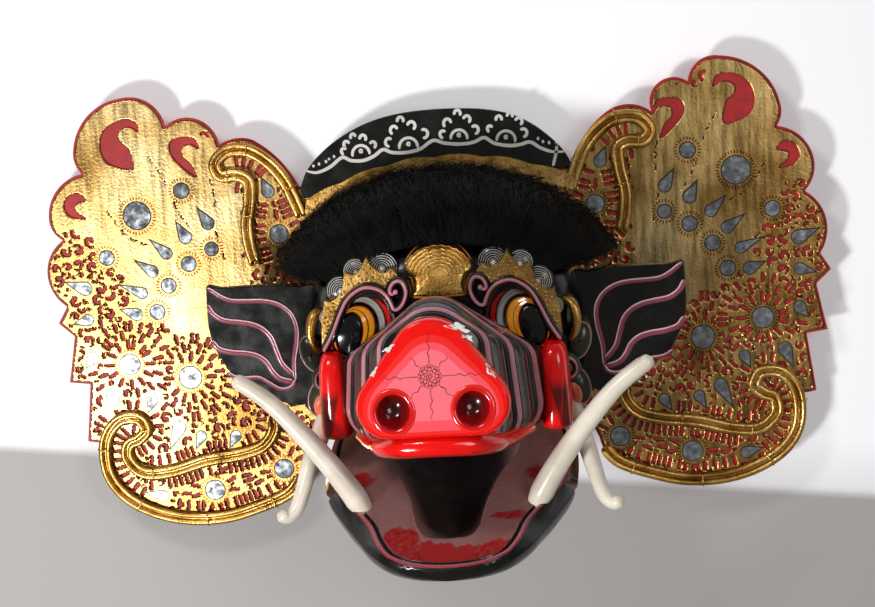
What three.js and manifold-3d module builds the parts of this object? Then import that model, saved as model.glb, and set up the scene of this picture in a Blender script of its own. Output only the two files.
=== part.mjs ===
// A Balinese boar mask (barong bangkal) of carved and painted wood, lying on its back.
// Millimetres. X runs to the right seen from the front, Y to the crown, Z out of the face.

import * as THREE from 'three';
import { LoftGeometry } from 'three/addons/geometries/LoftGeometry.js';
import { mergeVertices } from 'three/addons/utils/BufferGeometryUtils.js';
import Module from 'manifold-3d';

const wasm = await Module();
wasm.setup();

// Driving sizes

const gap = 0.3; // between pieces that touch
const wall = 12; // carved wood of the head
const collarDepth = 24; // rear rim, from the floor to the shoulder
const collarHalfWidth = 134;
const collarTop = 148;
const collarBottom = -114;
const jawOpening = 25; // degrees below level
const hingeY = -75;
const hingeZ = 70;
const pinRadius = 3;
const pinInner = 56;
const pinOuter = 101;
const barrelRadius = 15;
const bossInner = 79; // the jaw's cheeks turn between the bosses
const bossReach = 25; // boss behind the hinge
const bossFront = 21;
const hidePanel = 3; // thickness of the red wing hide
const giltSheet = 1.5; // thickness of the gilded sheet on it
const giltInset = 2.5; // red edge left round the gilded sheet
const crownTilt = 2.2; // degrees, right end higher
const rightWingScale = 0.977; // the right wing is a little smaller
const rightWingShiftX = -13;
const rightWingShiftY = 12.5;
const rightCurlLean = 9; // the curls in its top lobes sit nearer the crown

// Outer skull rings, each height, half width, top and bottom
const skullRings = [
  [20, 118, 122, -104],
  [50, 121, 119, -103],
  [80, 121, 112, -101],
  [105, 117, 101, -96],
  [125, 110, 88, -88],
  [140, 98, 74, -76],
  [150, 80, 60, -60],
  [154, 50, 40, -40],
];

// Lower jaw stations, each distance from the hinge, half width at the rim, swell below it and depth
const jawStations = [
  [0, 76, 0, 30],
  [33, 77, 0, 38],
  [35, 100, 2, 42],
  [62, 103, 3, 50],
  [92, 101, 5, 51],
  [114, 95, 7, 50],
  [141, 77, 11, 47],
  [158, 66, 12, 42],
  [177, 59, 8, 34],
  [192, 51, 4, 25],
  [203, 36, 2, 17],
  [209, 17, 1, 12],
];

// Solids and meshes

function toSolid(geometry) {
  const bare = new THREE.BufferGeometry();
  bare.setAttribute('position', geometry.getAttribute('position').clone());
  if (geometry.index) bare.setIndex(geometry.index.clone());
  const merged = mergeVertices(bare, 1e-3);
  const index = merged.index.array;
  const kept = [];
  for (let i = 0; i < index.length; i += 3) {
    const [a, b, c] = [index[i], index[i + 1], index[i + 2]];
    if (a !== b && b !== c && c !== a) kept.push(a, b, c);
  }
  const vertProperties = new Float32Array(merged.getAttribute('position').array);
  const triVerts = new Uint32Array(kept);
  return new wasm.Manifold(new wasm.Mesh({ numProp: 3, vertProperties, triVerts }));
}

function toGeometry(solid) {
  const mesh = solid.getMesh();
  const geometry = new THREE.BufferGeometry();
  geometry.setAttribute('position', new THREE.BufferAttribute(mesh.vertProperties, 3));
  geometry.setIndex(new THREE.BufferAttribute(mesh.triVerts, 1));
  geometry.computeVertexNormals();
  return geometry;
}

function mirrored(geometry) {
  const copy = geometry.clone();
  copy.scale(-1, 1, 1);
  const index = copy.index.array;
  for (let i = 0; i < index.length; i += 3) {
    [index[i], index[i + 1]] = [index[i + 1], index[i]];
  }
  return copy;
}

function joined(solids) {
  return solids.reduce((sum, solid) => sum.add(solid));
}

function bothSides(geometry) {
  return toSolid(geometry).add(toSolid(mirrored(geometry)));
}

function paint(color, roughness, metalness) {
  return new THREE.MeshStandardMaterial({ color, roughness, metalness });
}

function named(name, solid, material) {
  const mesh = new THREE.Mesh(toGeometry(solid), material);
  mesh.name = name;
  return mesh;
}

// Shape helpers

function radians(degrees) {
  return THREE.MathUtils.degToRad(degrees);
}

function power(value, exponent) {
  return Math.sign(value) * Math.abs(value) ** exponent;
}

// Closed ring in a plane of constant Z, squarer below than above
function ring(z, halfWidth, top, bottom, count = 24, upper = 0.84, lower = 0.62) {
  const points = [];
  for (let i = 0; i < count; i++) {
    const angle = (2 * Math.PI * i) / count;
    const bend = Math.sin(angle) > 0 ? upper : lower;
    const height = Math.sin(angle) > 0 ? top : -bottom;
    points.push(new THREE.Vector3(
      halfWidth * power(Math.cos(angle), bend),
      height * power(Math.sin(angle), bend),
      z,
    ));
  }
  return points;
}

function loft(sections) {
  const geometry = new LoftGeometry(sections, { capStart: true, capEnd: true });
  return mergeVertices(positionsOnly(geometry));
}

function skullLoft(growth, rings = skullRings) {
  return toSolid(loft(rings.map(([z, halfWidth, top, bottom]) => (
    ring(z + (z > 100 ? growth : 0), halfWidth + growth, top + growth, bottom - growth)
  ))));
}

// Tapered bar along a curve; size gives the two half thicknesses at each share of the length
function sweep(path, size, stations, sides = 8, up = new THREE.Vector3(0, 0, 1), profile = null) {
  const curve = new THREE.CatmullRomCurve3(path.map((p) => new THREE.Vector3(...p)));
  const sections = [];
  for (let i = 0; i <= stations; i++) {
    const share = i / stations;
    const centre = curve.getPointAt(share);
    const along = curve.getTangentAt(share);
    const side = new THREE.Vector3().crossVectors(up, along).normalize();
    const rise = new THREE.Vector3().crossVectors(along, side);
    const [halfSide, halfRise] = size(share);
    const section = [];
    for (let k = 0; k < sides; k++) {
      const angle = (2 * Math.PI * k) / sides;
      const height = profile ? profile(angle) : Math.sin(angle);
      section.push(centre.clone()
        .addScaledVector(side, halfSide * Math.cos(angle))
        .addScaledVector(rise, halfRise * height));
    }
    sections.push(section);
  }
  return loft(sections);
}

function plate(outline, from, to, holes = [], bevel = 0) {
  const shape = new THREE.Shape(outline.map(([x, y]) => new THREE.Vector2(x, y)));
  for (const hole of holes) {
    shape.holes.push(new THREE.Path(hole.map(([x, y]) => new THREE.Vector2(x, y))));
  }
  const geometry = new THREE.ExtrudeGeometry(shape, {
    depth: to - from - 2 * bevel,
    bevelEnabled: bevel > 0,
    bevelSize: bevel,
    bevelThickness: bevel,
    bevelOffset: -bevel,
    bevelSegments: 1,
  });
  geometry.translate(0, 0, from + bevel);
  return mergeVertices(positionsOnly(geometry));
}

function positionsOnly(geometry) {
  const bare = new THREE.BufferGeometry();
  bare.setAttribute('position', geometry.getAttribute('position').clone());
  if (geometry.index) bare.setIndex(geometry.index.clone());
  return bare;
}

function block(x0, x1, y0, y1, z0, z1) {
  const geometry = new THREE.BoxGeometry(x1 - x0, y1 - y0, z1 - z0);
  geometry.translate((x0 + x1) / 2, (y0 + y1) / 2, (z0 + z1) / 2);
  return mergeVertices(positionsOnly(geometry));
}

// Rod lying along X
function rod(x0, x1, y, z, radius, sides = 12) {
  const geometry = new THREE.CylinderGeometry(radius, radius, x1 - x0, sides);
  geometry.rotateZ(-Math.PI / 2);
  geometry.translate((x0 + x1) / 2, y, z);
  return mergeVertices(positionsOnly(geometry));
}

// Points on the arc through three given points, without the last
function arc([ax, ay], [bx, by], [cx, cy], count) {
  const d = 2 * (ax * (by - cy) + bx * (cy - ay) + cx * (ay - by));
  const a2 = ax * ax + ay * ay;
  const b2 = bx * bx + by * by;
  const c2 = cx * cx + cy * cy;
  const x = (a2 * (by - cy) + b2 * (cy - ay) + c2 * (ay - by)) / d;
  const y = (a2 * (cx - bx) + b2 * (ax - cx) + c2 * (bx - ax)) / d;
  const radius = Math.hypot(ax - x, ay - y);
  const start = Math.atan2(ay - y, ax - x);
  const turn = d > 0 ? 1 : -1;
  let span = turn * (Math.atan2(cy - y, cx - x) - start);
  span = turn * (((span % (2 * Math.PI)) + 2 * Math.PI) % (2 * Math.PI));
  const points = [];
  for (let i = 0; i < count; i++) {
    const angle = start + (span * i) / count;
    points.push([x + radius * Math.cos(angle), y + radius * Math.sin(angle)]);
  }
  return points;
}

// Outline moved inwards along its own normals; the outline runs counterclockwise
function inset(outline, distance) {
  const count = outline.length;
  return outline.map(([x, y], i) => {
    const [px, py] = outline[(i + count - 1) % count];
    const [nx, ny] = outline[(i + 1) % count];
    const tangent = new THREE.Vector2(nx - px, ny - py).normalize();
    return [x - tangent.y * distance, y + tangent.x * distance];
  });
}

function spline(points, count, closed = true) {
  const curve = new THREE.CatmullRomCurve3(
    points.map(([x, y]) => new THREE.Vector3(x, y, 0)), closed);
  return curve.getPoints(count).slice(0, closed ? -1 : undefined).map((p) => [p.x, p.y]);
}

// Tusks, swept from root to tip; the lower ones are measured from the hinge of the level jaw

const tuskStations = 8;
const lowerTuskRise = new THREE.Vector3(0, 0.42, 0.91); // square to the lower tusks' bend
const lowerTuskPath = [
  [67, -13.9, 133.4], [72, 0.4, 131.1], [88, 27.5, 122.9],
  [112, 58.3, 110.8], [140, 85.5, 95.8], [169, 103.3, 84.2],
];
const upperTuskPath = [
  [92, -50, 112], [103, -66, 138], [115, -94, 166], [122, -119, 184], [129, -133, 191], [139, -128, 196],
];

function lowerTusk(growth) {
  const size = (share) => {
    const tip = share > 0.94 ? 0.62 : 1;
    return [(10.5 - 3.5 * share) * tip + growth, (11.5 - 4 * share) * tip + growth];
  };
  return sweep(lowerTuskPath, size, tuskStations, 8, lowerTuskRise);
}

function upperTusk(growth) {
  const size = (share) => {
    const tip = share > 0.94 ? 0.6 : 1;
    return [(9.5 - 2.5 * share) * tip + growth, (10.5 - 3 * share) * tip + growth];
  };
  return sweep(upperTuskPath, size, tuskStations, 8, new THREE.Vector3(1, 0, 0));
}

// Ears, each a carved board with a tab let into the head

const earLow = 97;
const earHigh = 106;
const earRoot = skullRings[3][1] + 1; // where an ear leaves the skull
const tabDepth = 9; // tab of the ear inside the skull

function earOutline() {
  return [
    [earRoot - tabDepth, -12],
    [earRoot + 9, -12],
    [128, -22],
    ...arc([131, -31], [136, -37], [145, -34], 3),
    ...arc([145, -34], [168, -25], [190, -20.5], 4),
    [197, -8],
    [201, 6],
    ...arc([201, 16], [204, 32], [203, 45.5], 3),
    ...arc([203, 45.5], [165, 40], [131, 43.5], 6),
    [125, 38],
    [earRoot + 7, 30],
    [earRoot - tabDepth, 30],
  ];
}

function ear() {
  return plate(earOutline(), earLow, earHigh, [], 1.5);
}

function earSlot() {
  return block(earRoot - tabDepth - gap, earRoot + 6, -12 - gap, 30 + gap, earLow - gap, earHigh + gap);
}

// Head

const noseLobes = [[0, 10, 31], [34, -24, 24.5], [-34, -24, 24.5]];
const noseHeights = [[262, 0.86], [274, 0.97], [282, 1], [289, 0.99], [291.5, 0.93]];
const nostril = { x: 30, y: -27, z: 292, radius: 12.5 };

// Rounded triangle as the outer line round three circles
function lobedRing(z, lobes, count = 22) {
  const points = [];
  for (let i = 0; i < count; i++) {
    const angle = (2 * Math.PI * (i + 0.5)) / count;
    const dx = Math.cos(angle);
    const dy = Math.sin(angle);
    const reach = ([x, y, radius]) => x * dx + y * dy + radius;
    const [x, y, radius] = lobes.reduce((a, b) => (reach(b) > reach(a) ? b : a));
    points.push(new THREE.Vector3(x + radius * dx, y + radius * dy, z));
  }
  return points;
}

// The nose leans back towards the brow
function nose() {
  return loft(noseHeights.map(([z, scale]) => {
    const lobes = noseLobes.map((lobe) => lobe.map((value) => value * scale));
    return lobedRing(z, lobes, 26).map((p) => p.setZ(p.z - 0.14 * (p.y + 27)));
  }));
}

// The snout's folds climb from below the eyes to the front one, which arches over the nose
function snout() {
  const back = 152;
  const length = 110;
  const folds = 3;
  const steps = 4;
  const rings = [lobedRing(136, [[0, 0, 30], [60, -36, 24], [-60, -36, 24]])];
  for (let i = 0; i <= folds * steps; i++) {
    const share = i / (folds * steps);
    const swell = 4 * Math.abs(Math.sin((Math.PI * i) / steps)) - 2.6;
    const crest = Math.min(33 + 21 * share, 60 - 18 * share);
    const side = 70 - 50 * share;
    const lobes = [[0, crest - 30, 30 + swell]];
    for (const x of [side, -side]) {
      lobes.push([x, 40 * share - 26, 18 + swell], [0.9 * x, -50, 23 + 0.07 * side + swell]);
    }
    rings.push(lobedRing(back + length * share, lobes));
  }
  return loft(rings);
}

function lip() {
  const right = [
    [69, -71, 177], [64, -70, 191], [57, -67, 215], [49, -64, 240], [42, -60.5, 260], [34, -58, 275],
    [18, -56, 283],
  ];
  const left = right.map(([x, y, z]) => [-x, y, z]).reverse();
  const path = [...right, [0, -56, 284], ...left];
  return sweep(path, () => [8, 10], 16, 8, new THREE.Vector3(0, 1, 0));
}

function flap() {
  const levels = [[-77, 0.55], [-72, 0.9], [-45, 1], [-18, 0.95], [-4, 0.5]];
  const sections = levels.map(([y, scale]) => {
    const points = [];
    for (let i = 0; i < 10; i++) {
      const angle = (-2 * Math.PI * i) / 10;
      points.push(new THREE.Vector3(
        90 + 11 * scale * power(Math.cos(angle), 0.7),
        y,
        158 + 20 * scale * power(Math.sin(angle), 0.7),
      ));
    }
    return points.reverse();
  });
  return loft(sections.reverse());
}

function brow() {
  const path = [
    [50, 26, 160], [38, 28, 163], [33, 40, 164], [44, 50, 162], [66, 55, 156], [92, 46, 146], [110, 26, 132],
  ];
  const size = (share) => {
    const width = share < 0.2 ? 4.5 : 9 - 4 * share;
    return [width, 9 - 3 * share];
  };
  return sweep(path, size, 8, 5);
}

function templeHorn() {
  const path = [[100, 34, 128], [107, 30, 136], [113, 16, 138], [112, 0, 136], [106, -10, 132]];
  return sweep(path, (share) => [6.5 - 4 * share, 7 - 4 * share], 5, 5);
}

function cheekCurl(x, y, z, radius) {
  const path = [];
  for (let i = 0; i <= 6; i++) {
    const angle = radians(200 - 48 * i);
    const reach = radius * (1 - 0.09 * i);
    path.push([x + reach * Math.cos(angle), y + reach * Math.sin(angle), z + 0.4 * i]);
  }
  return sweep(path, (share) => [5 - 2.4 * share, 6.5 - 3 * share], 6, 4);
}

function plaque() {
  const fan = [
    ...arc([-19, 0], [-14, 3], [-15, 12], 3),
    ...arc([-15, 12], [-25, 17], [-28, 26], 3),
    ...arc([-28, 26], [0, 44], [28, 26], 8),
    ...arc([28, 26], [25, 17], [15, 12], 3),
    ...arc([15, 12], [14, 3], [19, 0], 3),
    [19, 0],
    [12, -5],
    [-12, -5],
  ];
  const geometry = plate(fan.reverse(), 0, 16, [], 2);
  geometry.rotateX(radians(-22));
  geometry.translate(0, 34, 143);
  return geometry;
}

function eyeball() {
  const geometry = new THREE.SphereGeometry(21, 12, 8);
  geometry.rotateX(Math.PI / 2);
  geometry.translate(78, 9, 145);
  return mergeVertices(positionsOnly(geometry));
}

function eyeRim() {
  const geometry = new THREE.TorusGeometry(24, 5, 5, 12);
  geometry.scale(1, 1, 1.3);
  geometry.rotateY(radians(14));
  geometry.translate(78, 9, 149);
  return mergeVertices(positionsOnly(geometry));
}

// Spiked gilt ornament that stands over each brow
function browOrnament() {
  const outline = [];
  const spikes = 5;
  for (let i = 0; i <= spikes * 2; i++) {
    const angle = radians(150 - (14 * i));
    const reach = i % 2 === 1 ? 46 : 35;
    outline.push([reach * Math.cos(angle), reach * Math.sin(angle)]);
  }
  for (let i = 0; i <= 5; i++) {
    const angle = radians(10 + 28 * i);
    outline.push([27 * Math.cos(angle), 27 * Math.sin(angle)]);
  }
  const geometry = plate(outline.reverse(), -14, 5);
  geometry.rotateX(radians(-30));
  geometry.rotateY(radians(24));
  geometry.translate(72, 24, 147);
  return geometry;
}

function browDome() {
  const geometry = new THREE.SphereGeometry(24, 10, 6);
  geometry.rotateX(Math.PI / 2);
  geometry.scale(1.25, 1, 0.9);
  geometry.translate(70, 46, 122);
  return mergeVertices(positionsOnly(geometry));
}

function innerHollow() {
  const rings = skullRings.map(([z, halfWidth, top, bottom]) => (
    [z - wall * (z / 154) ** 4, halfWidth - wall, top - wall, bottom + wall]
  ));
  rings[0][0] = -1;
  return skullLoft(0, rings);
}

function mouthCavity() {
  const rings = [
    [50, 60, 0], [120, 60, -6], [180, 56, -14], [230, 46, -28], [264, 34, -44],
  ];
  return toSolid(loft(rings.map(([z, halfWidth, top]) => {
    const points = ring(z, halfWidth, 24, -60, 16, 0.8, 0.4);
    return points.map((p) => p.add(new THREE.Vector3(0, top - 24, 0)));
  })));
}

// Room for the jaw, between the bosses and ahead of them
function jawSlot() {
  const back = hingeZ - bossReach;
  const behind = toSolid(block(-bossInner, bossInner, -135, hingeY + barrelRadius + 3, back, hingeZ + 30));
  const ahead = toSolid(block(-120, 120, -135, hingeY + 5, hingeZ + bossFront + 2, 156));
  return behind.add(ahead);
}

// Blocks inside the cheeks that hold the jaw's pins
function cheekBoss() {
  return bothSides(block(
    bossInner, 112, hingeY - 22, hingeY + 22, hingeZ - bossReach, hingeZ + bossFront,
  ));
}

function nostrils() {
  const geometry = new THREE.SphereGeometry(nostril.radius, 10, 6);
  geometry.rotateX(Math.PI / 2);
  geometry.scale(1, 1.05, 1.3);
  geometry.translate(nostril.x, nostril.y, nostril.z);
  return bothSides(mergeVertices(positionsOnly(geometry)));
}

function head() {
  const collar = toSolid(loft([0, collarDepth].map((z) => (
    ring(z, collarHalfWidth, collarTop, collarBottom)
  ))));
  const skull = skullLoft(0);
  const carved = joined([
    collar,
    skull,
    toSolid(snout()),
    toSolid(nose()),
    bothSides(flap()),
    bothSides(brow()),
    bothSides(templeHorn()),
    bothSides(cheekCurl(100, -34, 136, 14)),
    toSolid(plaque()),
    bothSides(browOrnament()),
    bothSides(browDome()),
    bothSides(eyeball()),
    bothSides(eyeRim()),
  ]);
  const bosses = cheekBoss().intersect(skull);
  const cuts = joined([
    mouthCavity(),
    jawSlot(),
    nostrils(),
    bothSides(upperTusk(gap)),
    bothSides(earSlot()),
    bothSides(rod(40, pinOuter + 24, hingeY, hingeZ, pinRadius + gap)),
  ]);
  return carved.subtract(innerHollow()).add(bosses).subtract(cuts).add(toSolid(lip()));
}

// Lower jaw, built level about its hinge and then swung open

function jawSection(z, halfWidth, swell, depth) {
  const plateHeight = z > 200 ? 3 : 0;
  const right = [
    [halfWidth, 3],
    [halfWidth - 5, 3.5],
    [halfWidth - 9, plateHeight],
  ];
  const left = right.map(([x, y]) => [-x, y]).reverse();
  const under = [];
  for (let i = 1; i < 8; i++) {
    const angle = Math.PI + (Math.PI * i) / 8;
    under.push([
      (halfWidth + swell) * power(Math.cos(angle), 0.7),
      depth * power(Math.sin(angle), 0.75),
    ]);
  }
  return [...right, [0, plateHeight - 1], ...left, ...under]
    .map(([x, y]) => new THREE.Vector3(x, y, z));
}

function throatCut() {
  const stations = [
    [-40, 62, 24], [20, 62, 26], [40, 64, 32], [72, 57, 34], [96, 44, 34], [124, 34, 32], [156, 28, 22],
    [170, 24, 7], [176, 21, -6],
  ];
  return toSolid(loft(stations.map(([z, halfWidth, depth]) => {
    const points = [[halfWidth + 2, 12], [-halfWidth - 2, 12]];
    for (let i = 0; i <= 8; i++) {
      const angle = Math.PI + (Math.PI * i) / 8;
      points.push([
        halfWidth * power(Math.cos(angle), 0.7),
        7 + (depth + 7) * power(Math.sin(angle), 0.7),
      ]);
    }
    return points.map(([x, y]) => new THREE.Vector3(x, y, z));
  })));
}

// Gap in each side of the jaw between its cheek and its front lobe
function sideNotch() {
  const geometry = plate([[-90, 8], [-114, 8], [-111, -34]], 86, 125);
  geometry.rotateY(Math.PI / 2);
  return geometry;
}

function levelJaw() {
  const body = toSolid(loft(jawStations.map((station) => jawSection(...station))));
  const barrels = bothSides(rod(50, 76, 0, 0, barrelRadius, 18));
  const bores = bothSides(rod(40, 90, 0, 0, pinRadius + gap));
  const cuts = joined([throatCut(), bothSides(sideNotch())]);
  return body.subtract(cuts).add(barrels).subtract(bores);
}

function swungOpen(solid) {
  return solid.rotate([jawOpening, 0, 0]).translate([0, hingeY, hingeZ]);
}

function lowerJaw() {
  return swungOpen(levelJaw().subtract(bothSides(lowerTusk(gap))));
}

// Mane, a skirt of fur round the top of the head

function mane() {
  const outside = [
    [62, 160, 140], [84, 151, 133], [107, 136, 120], [128, 118, 103], [150, 90, 76],
  ];
  const inside = [[60, 147, 126], [84, 134, 117], [104, 118.5, 102.5]];
  const bulk = toSolid(loft(outside.map(([z, halfWidth, top]) => ring(z, halfWidth, top, -60, 28))));
  const under = toSolid(loft(inside.map(([z, halfWidth, top]) => ring(z, halfWidth, top, -80, 28))));
  const belowSides = toSolid(block(-200, 200, -200, 52, 40, 180));
  const belowBrow = toSolid(block(-106, 106, 0, 81, 110, 180));
  return bulk.subtract(joined([under, skullLoft(0.6), belowSides, belowBrow]));
}

// Crown board and the gilded fringe on its foot

const crownFoot = collarDepth + gap;
const crownThickness = 9;
const fringeThickness = 2;

function tilted(solid) {
  return solid.rotate([0, 0, crownTilt]);
}

function crescent(halfWidth, tip, top, foot, count) {
  return [
    ...arc([halfWidth, tip], [0, top], [-halfWidth, tip], count),
    ...arc([-halfWidth, tip], [0, foot], [halfWidth, tip], 4),
  ];
}

function crownBoard() {
  const solid = toSolid(plate(crescent(121, 118, 179, 120, 20), crownFoot, crownFoot + crownThickness));
  return tilted(solid).subtract(skullLoft(0.5));
}

// Room that the wings leave for the crown board and its fringe
function crownRoom() {
  const outline = [
    ...arc([122, 118], [0, 180], [-122, 118], 20),
    [-122, 118],
    [-122, 104],
    [122, 104],
    [122, 118],
  ];
  return tilted(toSolid(plate(outline, 0, crownFoot + crownThickness + 6)));
}

function crownFringe() {
  const scallops = 15;
  const outline = [...arc([119, 117], [0, 147], [-119, 117], 12)];
  const lower = arc([-119, 113], [0, 128], [119, 113], scallops);
  lower.push([119, 113]);
  for (let i = 0; i < scallops; i++) {
    const [ax, ay] = lower[i];
    const [bx, by] = lower[i + 1];
    outline.push([ax, ay]);
    for (const [share, drop] of [[0.25, 4], [0.75, 4]]) {
      outline.push([ax + (bx - ax) * share, ay + (by - ay) * share - drop]);
    }
  }
  outline.push([119, 113]);
  const foot = crownFoot + crownThickness + gap;
  return tilted(toSolid(plate(outline, foot, foot + fringeThickness))).subtract(skullLoft(0.5));
}

// Wings of painted hide, drawn as the left wing and turned over for the right one

const wingFoot = collarDepth + gap;

// Lobes of each wing from the crown down, in millimetres from the mask's middle; arcs of three points
const leftLobes = [
  [[-128, 119], [-144.3, 144.3], [-165.9, 162.3], 4],
  [[-165.9, 162.3], [-181, 164.5], [-196, 159.6], 3],
  [[-196, 159.6], [-212, 182.5], [-243, 178.5], 6],
  [[-243, 178.5], [-256, 200.5], [-278, 206], 4],
  [[-278, 206], [-311, 192.5], [-327.2, 162.8], 5],
  [[-327.2, 162.8], [-327, 151], [-321.4, 141], 3],
  [[-321.4, 141], [-350, 122], [-355.5, 99.6], 5],
  [[-355.5, 99.6], [-352, 89.5], [-344.7, 82.6], 3],
  [[-344.7, 82.6], [-362, 55], [-347.1, 22], 6],
];
const rightLobes = [
  [[-114, 123.7], [-126, 148.5], [-144.9, 167.2], 4],
  [[-144.9, 167.2], [-165, 173.5], [-185.4, 165.6], 4],
  [[-185.4, 165.6], [-193, 191], [-217.4, 189.9], 5],
  [[-217.4, 189.9], [-226, 206], [-245.5, 210.4], 4],
  [[-245.5, 210.4], [-282, 193], [-296, 164.9], 6],
  [[-296, 164.9], [-296, 155.5], [-292, 147], 2],
  [[-292, 147], [-317, 131.5], [-323.5, 111.4], 5],
  [[-323.5, 111.4], [-321, 99], [-314.3, 89.2], 3],
  [[-314.3, 89.2], [-332.8, 60], [-323.8, 30.7], 6],
];

// The saw teeth and the round foot, alike on both wings
const lowerEdge = [
  [-347.1, 22], [-356.5, 7], [-343, -5.6], [-350, -40], [-352, -48], [-333, -50.5], [-337, -79],
  [-340.5, -104],
];
const footArcs = [
  [[-327.6, -106], [-322, -143], [-303.4, -162.8], 6],
  [[-303.4, -162.8], [-275, -178.5], [-241, -184], 4],
  [[-241, -184], [-200, -178.2], [-168.6, -167.6], 3],
  [[-168.6, -167.6], [-151, -157], [-142.3, -138.4], 4],
];
const innerEdge = [[-142.3, -138.4], [-134, -120], [-112, -104], [-108, 112]];

function wingOutline(lobes, place) {
  const lower = [
    ...lowerEdge,
    ...footArcs.flatMap((points) => arc(...points)),
    ...innerEdge,
  ];
  return [...lobes.flatMap((points) => arc(...points)), ...lower.map(place)];
}

const mainCurl = [
  [-266.6, 175.3], [-269, 184.5], [-280, 187.3], [-296, 180], [-302.6, 164.5], [-297, 149],
  [-276, 142.2], [-274.5, 152], [-277.5, 162], [-285, 169], [-284, 177], [-275, 180],
];
const secondCurl = [
  [-214, 156.9], [-216.5, 166], [-227, 169], [-238.5, 165.5], [-240, 154], [-230, 141],
  [-218, 132], [-222, 144], [-229, 152], [-228, 160], [-220, 161],
];
const outerCurl = [
  [-319.8, 117.7], [-327, 124.3], [-336.5, 121], [-340.5, 111.5], [-335, 103],
  [-321, 100.7], [-329, 107], [-330, 114],
];

const scrollPath = [
  [-146, -146], [-160, -161], [-189, -172.5], [-220, -180], [-255, -179.5], [-286, -170.5],
  [-310, -154.5], [-323, -132], [-322.5, -103], [-309, -85], [-291, -83.5], [-284.5, -95],
  [-292, -103], [-302, -108], [-303, -122], [-289, -135], [-264, -134.5], [-232, -126],
  [-199, -121.5], [-178, -114.5], [-167.5, -101], [-167, -90],
];
const leafPath = [
  [-126.5, 92], [-132, 108], [-140.5, 127], [-153, 142.5], [-170, 153.5], [-189, 153.5],
  [-200, 143], [-195, 132.5], [-181, 132.5], [-171.5, 126], [-172, 108], [-176, 88],
  [-175, 69], [-171, 52],
];

// Two rods side by side with a groove between them
function doubleRod(path, stations) {
  const foot = wingFoot + hidePanel + giltSheet + 2 * gap;
  const reach = 3.4;
  const profile = (angle) => Math.sin(angle) * (0.4 + 0.9 * Math.abs(Math.cos(angle)));
  const raised = path.map(([x, y]) => [x, y, foot + reach]);
  return sweep(raised, () => [6.2, reach / 0.735], stations, 8, new THREE.Vector3(0, 0, 1), profile);
}

// Places drawn for the left wing, moved to where the right wing has them before it is turned over
function asDrawn(point) {
  return point;
}

function asOnTheRight([x, y]) {
  return [x * rightWingScale - rightWingShiftX, y * rightWingScale + rightWingShiftY];
}

function trimmedWing(geometry) {
  return toSolid(geometry).subtract(skullLoft(0.6)).subtract(crownRoom());
}

function wingPieces(lobes, place) {
  const outline = wingOutline(lobes, place);
  const giltFoot = wingFoot + hidePanel + gap;
  const curls = [spline(mainCurl, 13), spline(secondCurl, 11), spline(outerCurl, 9)];
  const holes = curls.map((curl) => curl.map(place).map(([x, y]) => leaned(x, y, lobes)));
  return {
    panel: plate(outline, wingFoot, wingFoot + hidePanel),
    gilt: plate(inset(outline, giltInset), giltFoot, giltFoot + giltSheet, holes),
    leaf_edging: doubleRod(leafPath.map(place), 13),
    scroll_edging: doubleRod(scrollPath.map(place), 27),
  };
}

// The right wing's top lobes lean in towards the crown
function leaned(x, y, lobes) {
  return lobes === rightLobes ? [x + rightCurlLean, y] : [x, y];
}

// Materials

const blackPaint = paint(0x17140f, 0.3, 0);
const gold = paint(0xc79a3f, 0.42, 0.8);
const redHide = paint(0xa81522, 0.6, 0);
const ivory = paint(0xe3d6bd, 0.35, 0);
const fur = paint(0x0d0c0b, 0.85, 0);
const jawPaint = paint(0x8f4a41, 0.4, 0);
const pinWood = paint(0x8a6a44, 0.7, 0);
const wingMaterials = { panel: redHide, gilt: gold, leaf_edging: gold, scroll_edging: gold };

// The mask

const group = new THREE.Group();
group.add(named('head', head(), blackPaint));
group.add(named('lower_jaw', lowerJaw(), jawPaint));
group.add(named('tusk_lower_right', swungOpen(toSolid(lowerTusk(0))), ivory));
group.add(named('tusk_lower_left', swungOpen(toSolid(mirrored(lowerTusk(0)))), ivory));
group.add(named('tusk_upper_right', toSolid(upperTusk(0)), ivory));
group.add(named('tusk_upper_left', toSolid(mirrored(upperTusk(0))), ivory));
group.add(named('ear_right', toSolid(ear()), blackPaint));
group.add(named('ear_left', toSolid(mirrored(ear())), blackPaint));
group.add(named('jaw_pin_right', toSolid(rod(pinInner, pinOuter, hingeY, hingeZ, pinRadius)), pinWood));
group.add(named('jaw_pin_left', toSolid(rod(-pinOuter, -pinInner, hingeY, hingeZ, pinRadius)), pinWood));
group.add(named('mane', mane(), fur));
group.add(named('crown_board', crownBoard(), blackPaint));
group.add(named('crown_fringe', crownFringe(), gold));
for (const [name, geometry] of Object.entries(wingPieces(leftLobes, asDrawn))) {
  group.add(named(`wing_${name}_left`, trimmedWing(geometry), wingMaterials[name]));
}
for (const [name, geometry] of Object.entries(wingPieces(rightLobes, asOnTheRight))) {
  group.add(named(`wing_${name}_right`, trimmedWing(mirrored(geometry)), wingMaterials[name]));
}

// The origin is the middle of the floor under the whole mask
const bounds = new THREE.Box3().setFromObject(group);
const middle = bounds.getCenter(new THREE.Vector3());
group.position.set(-middle.x, -middle.y, -bounds.min.z);

export default group;
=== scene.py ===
# A carved and painted boar mask lying on its back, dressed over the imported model.
# Points are millimetres in the mask's own frame: X right, Y to the crown, Z out of the face.

import math

import bpy
import numpy as np
from mathutils import Matrix, Vector


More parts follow.
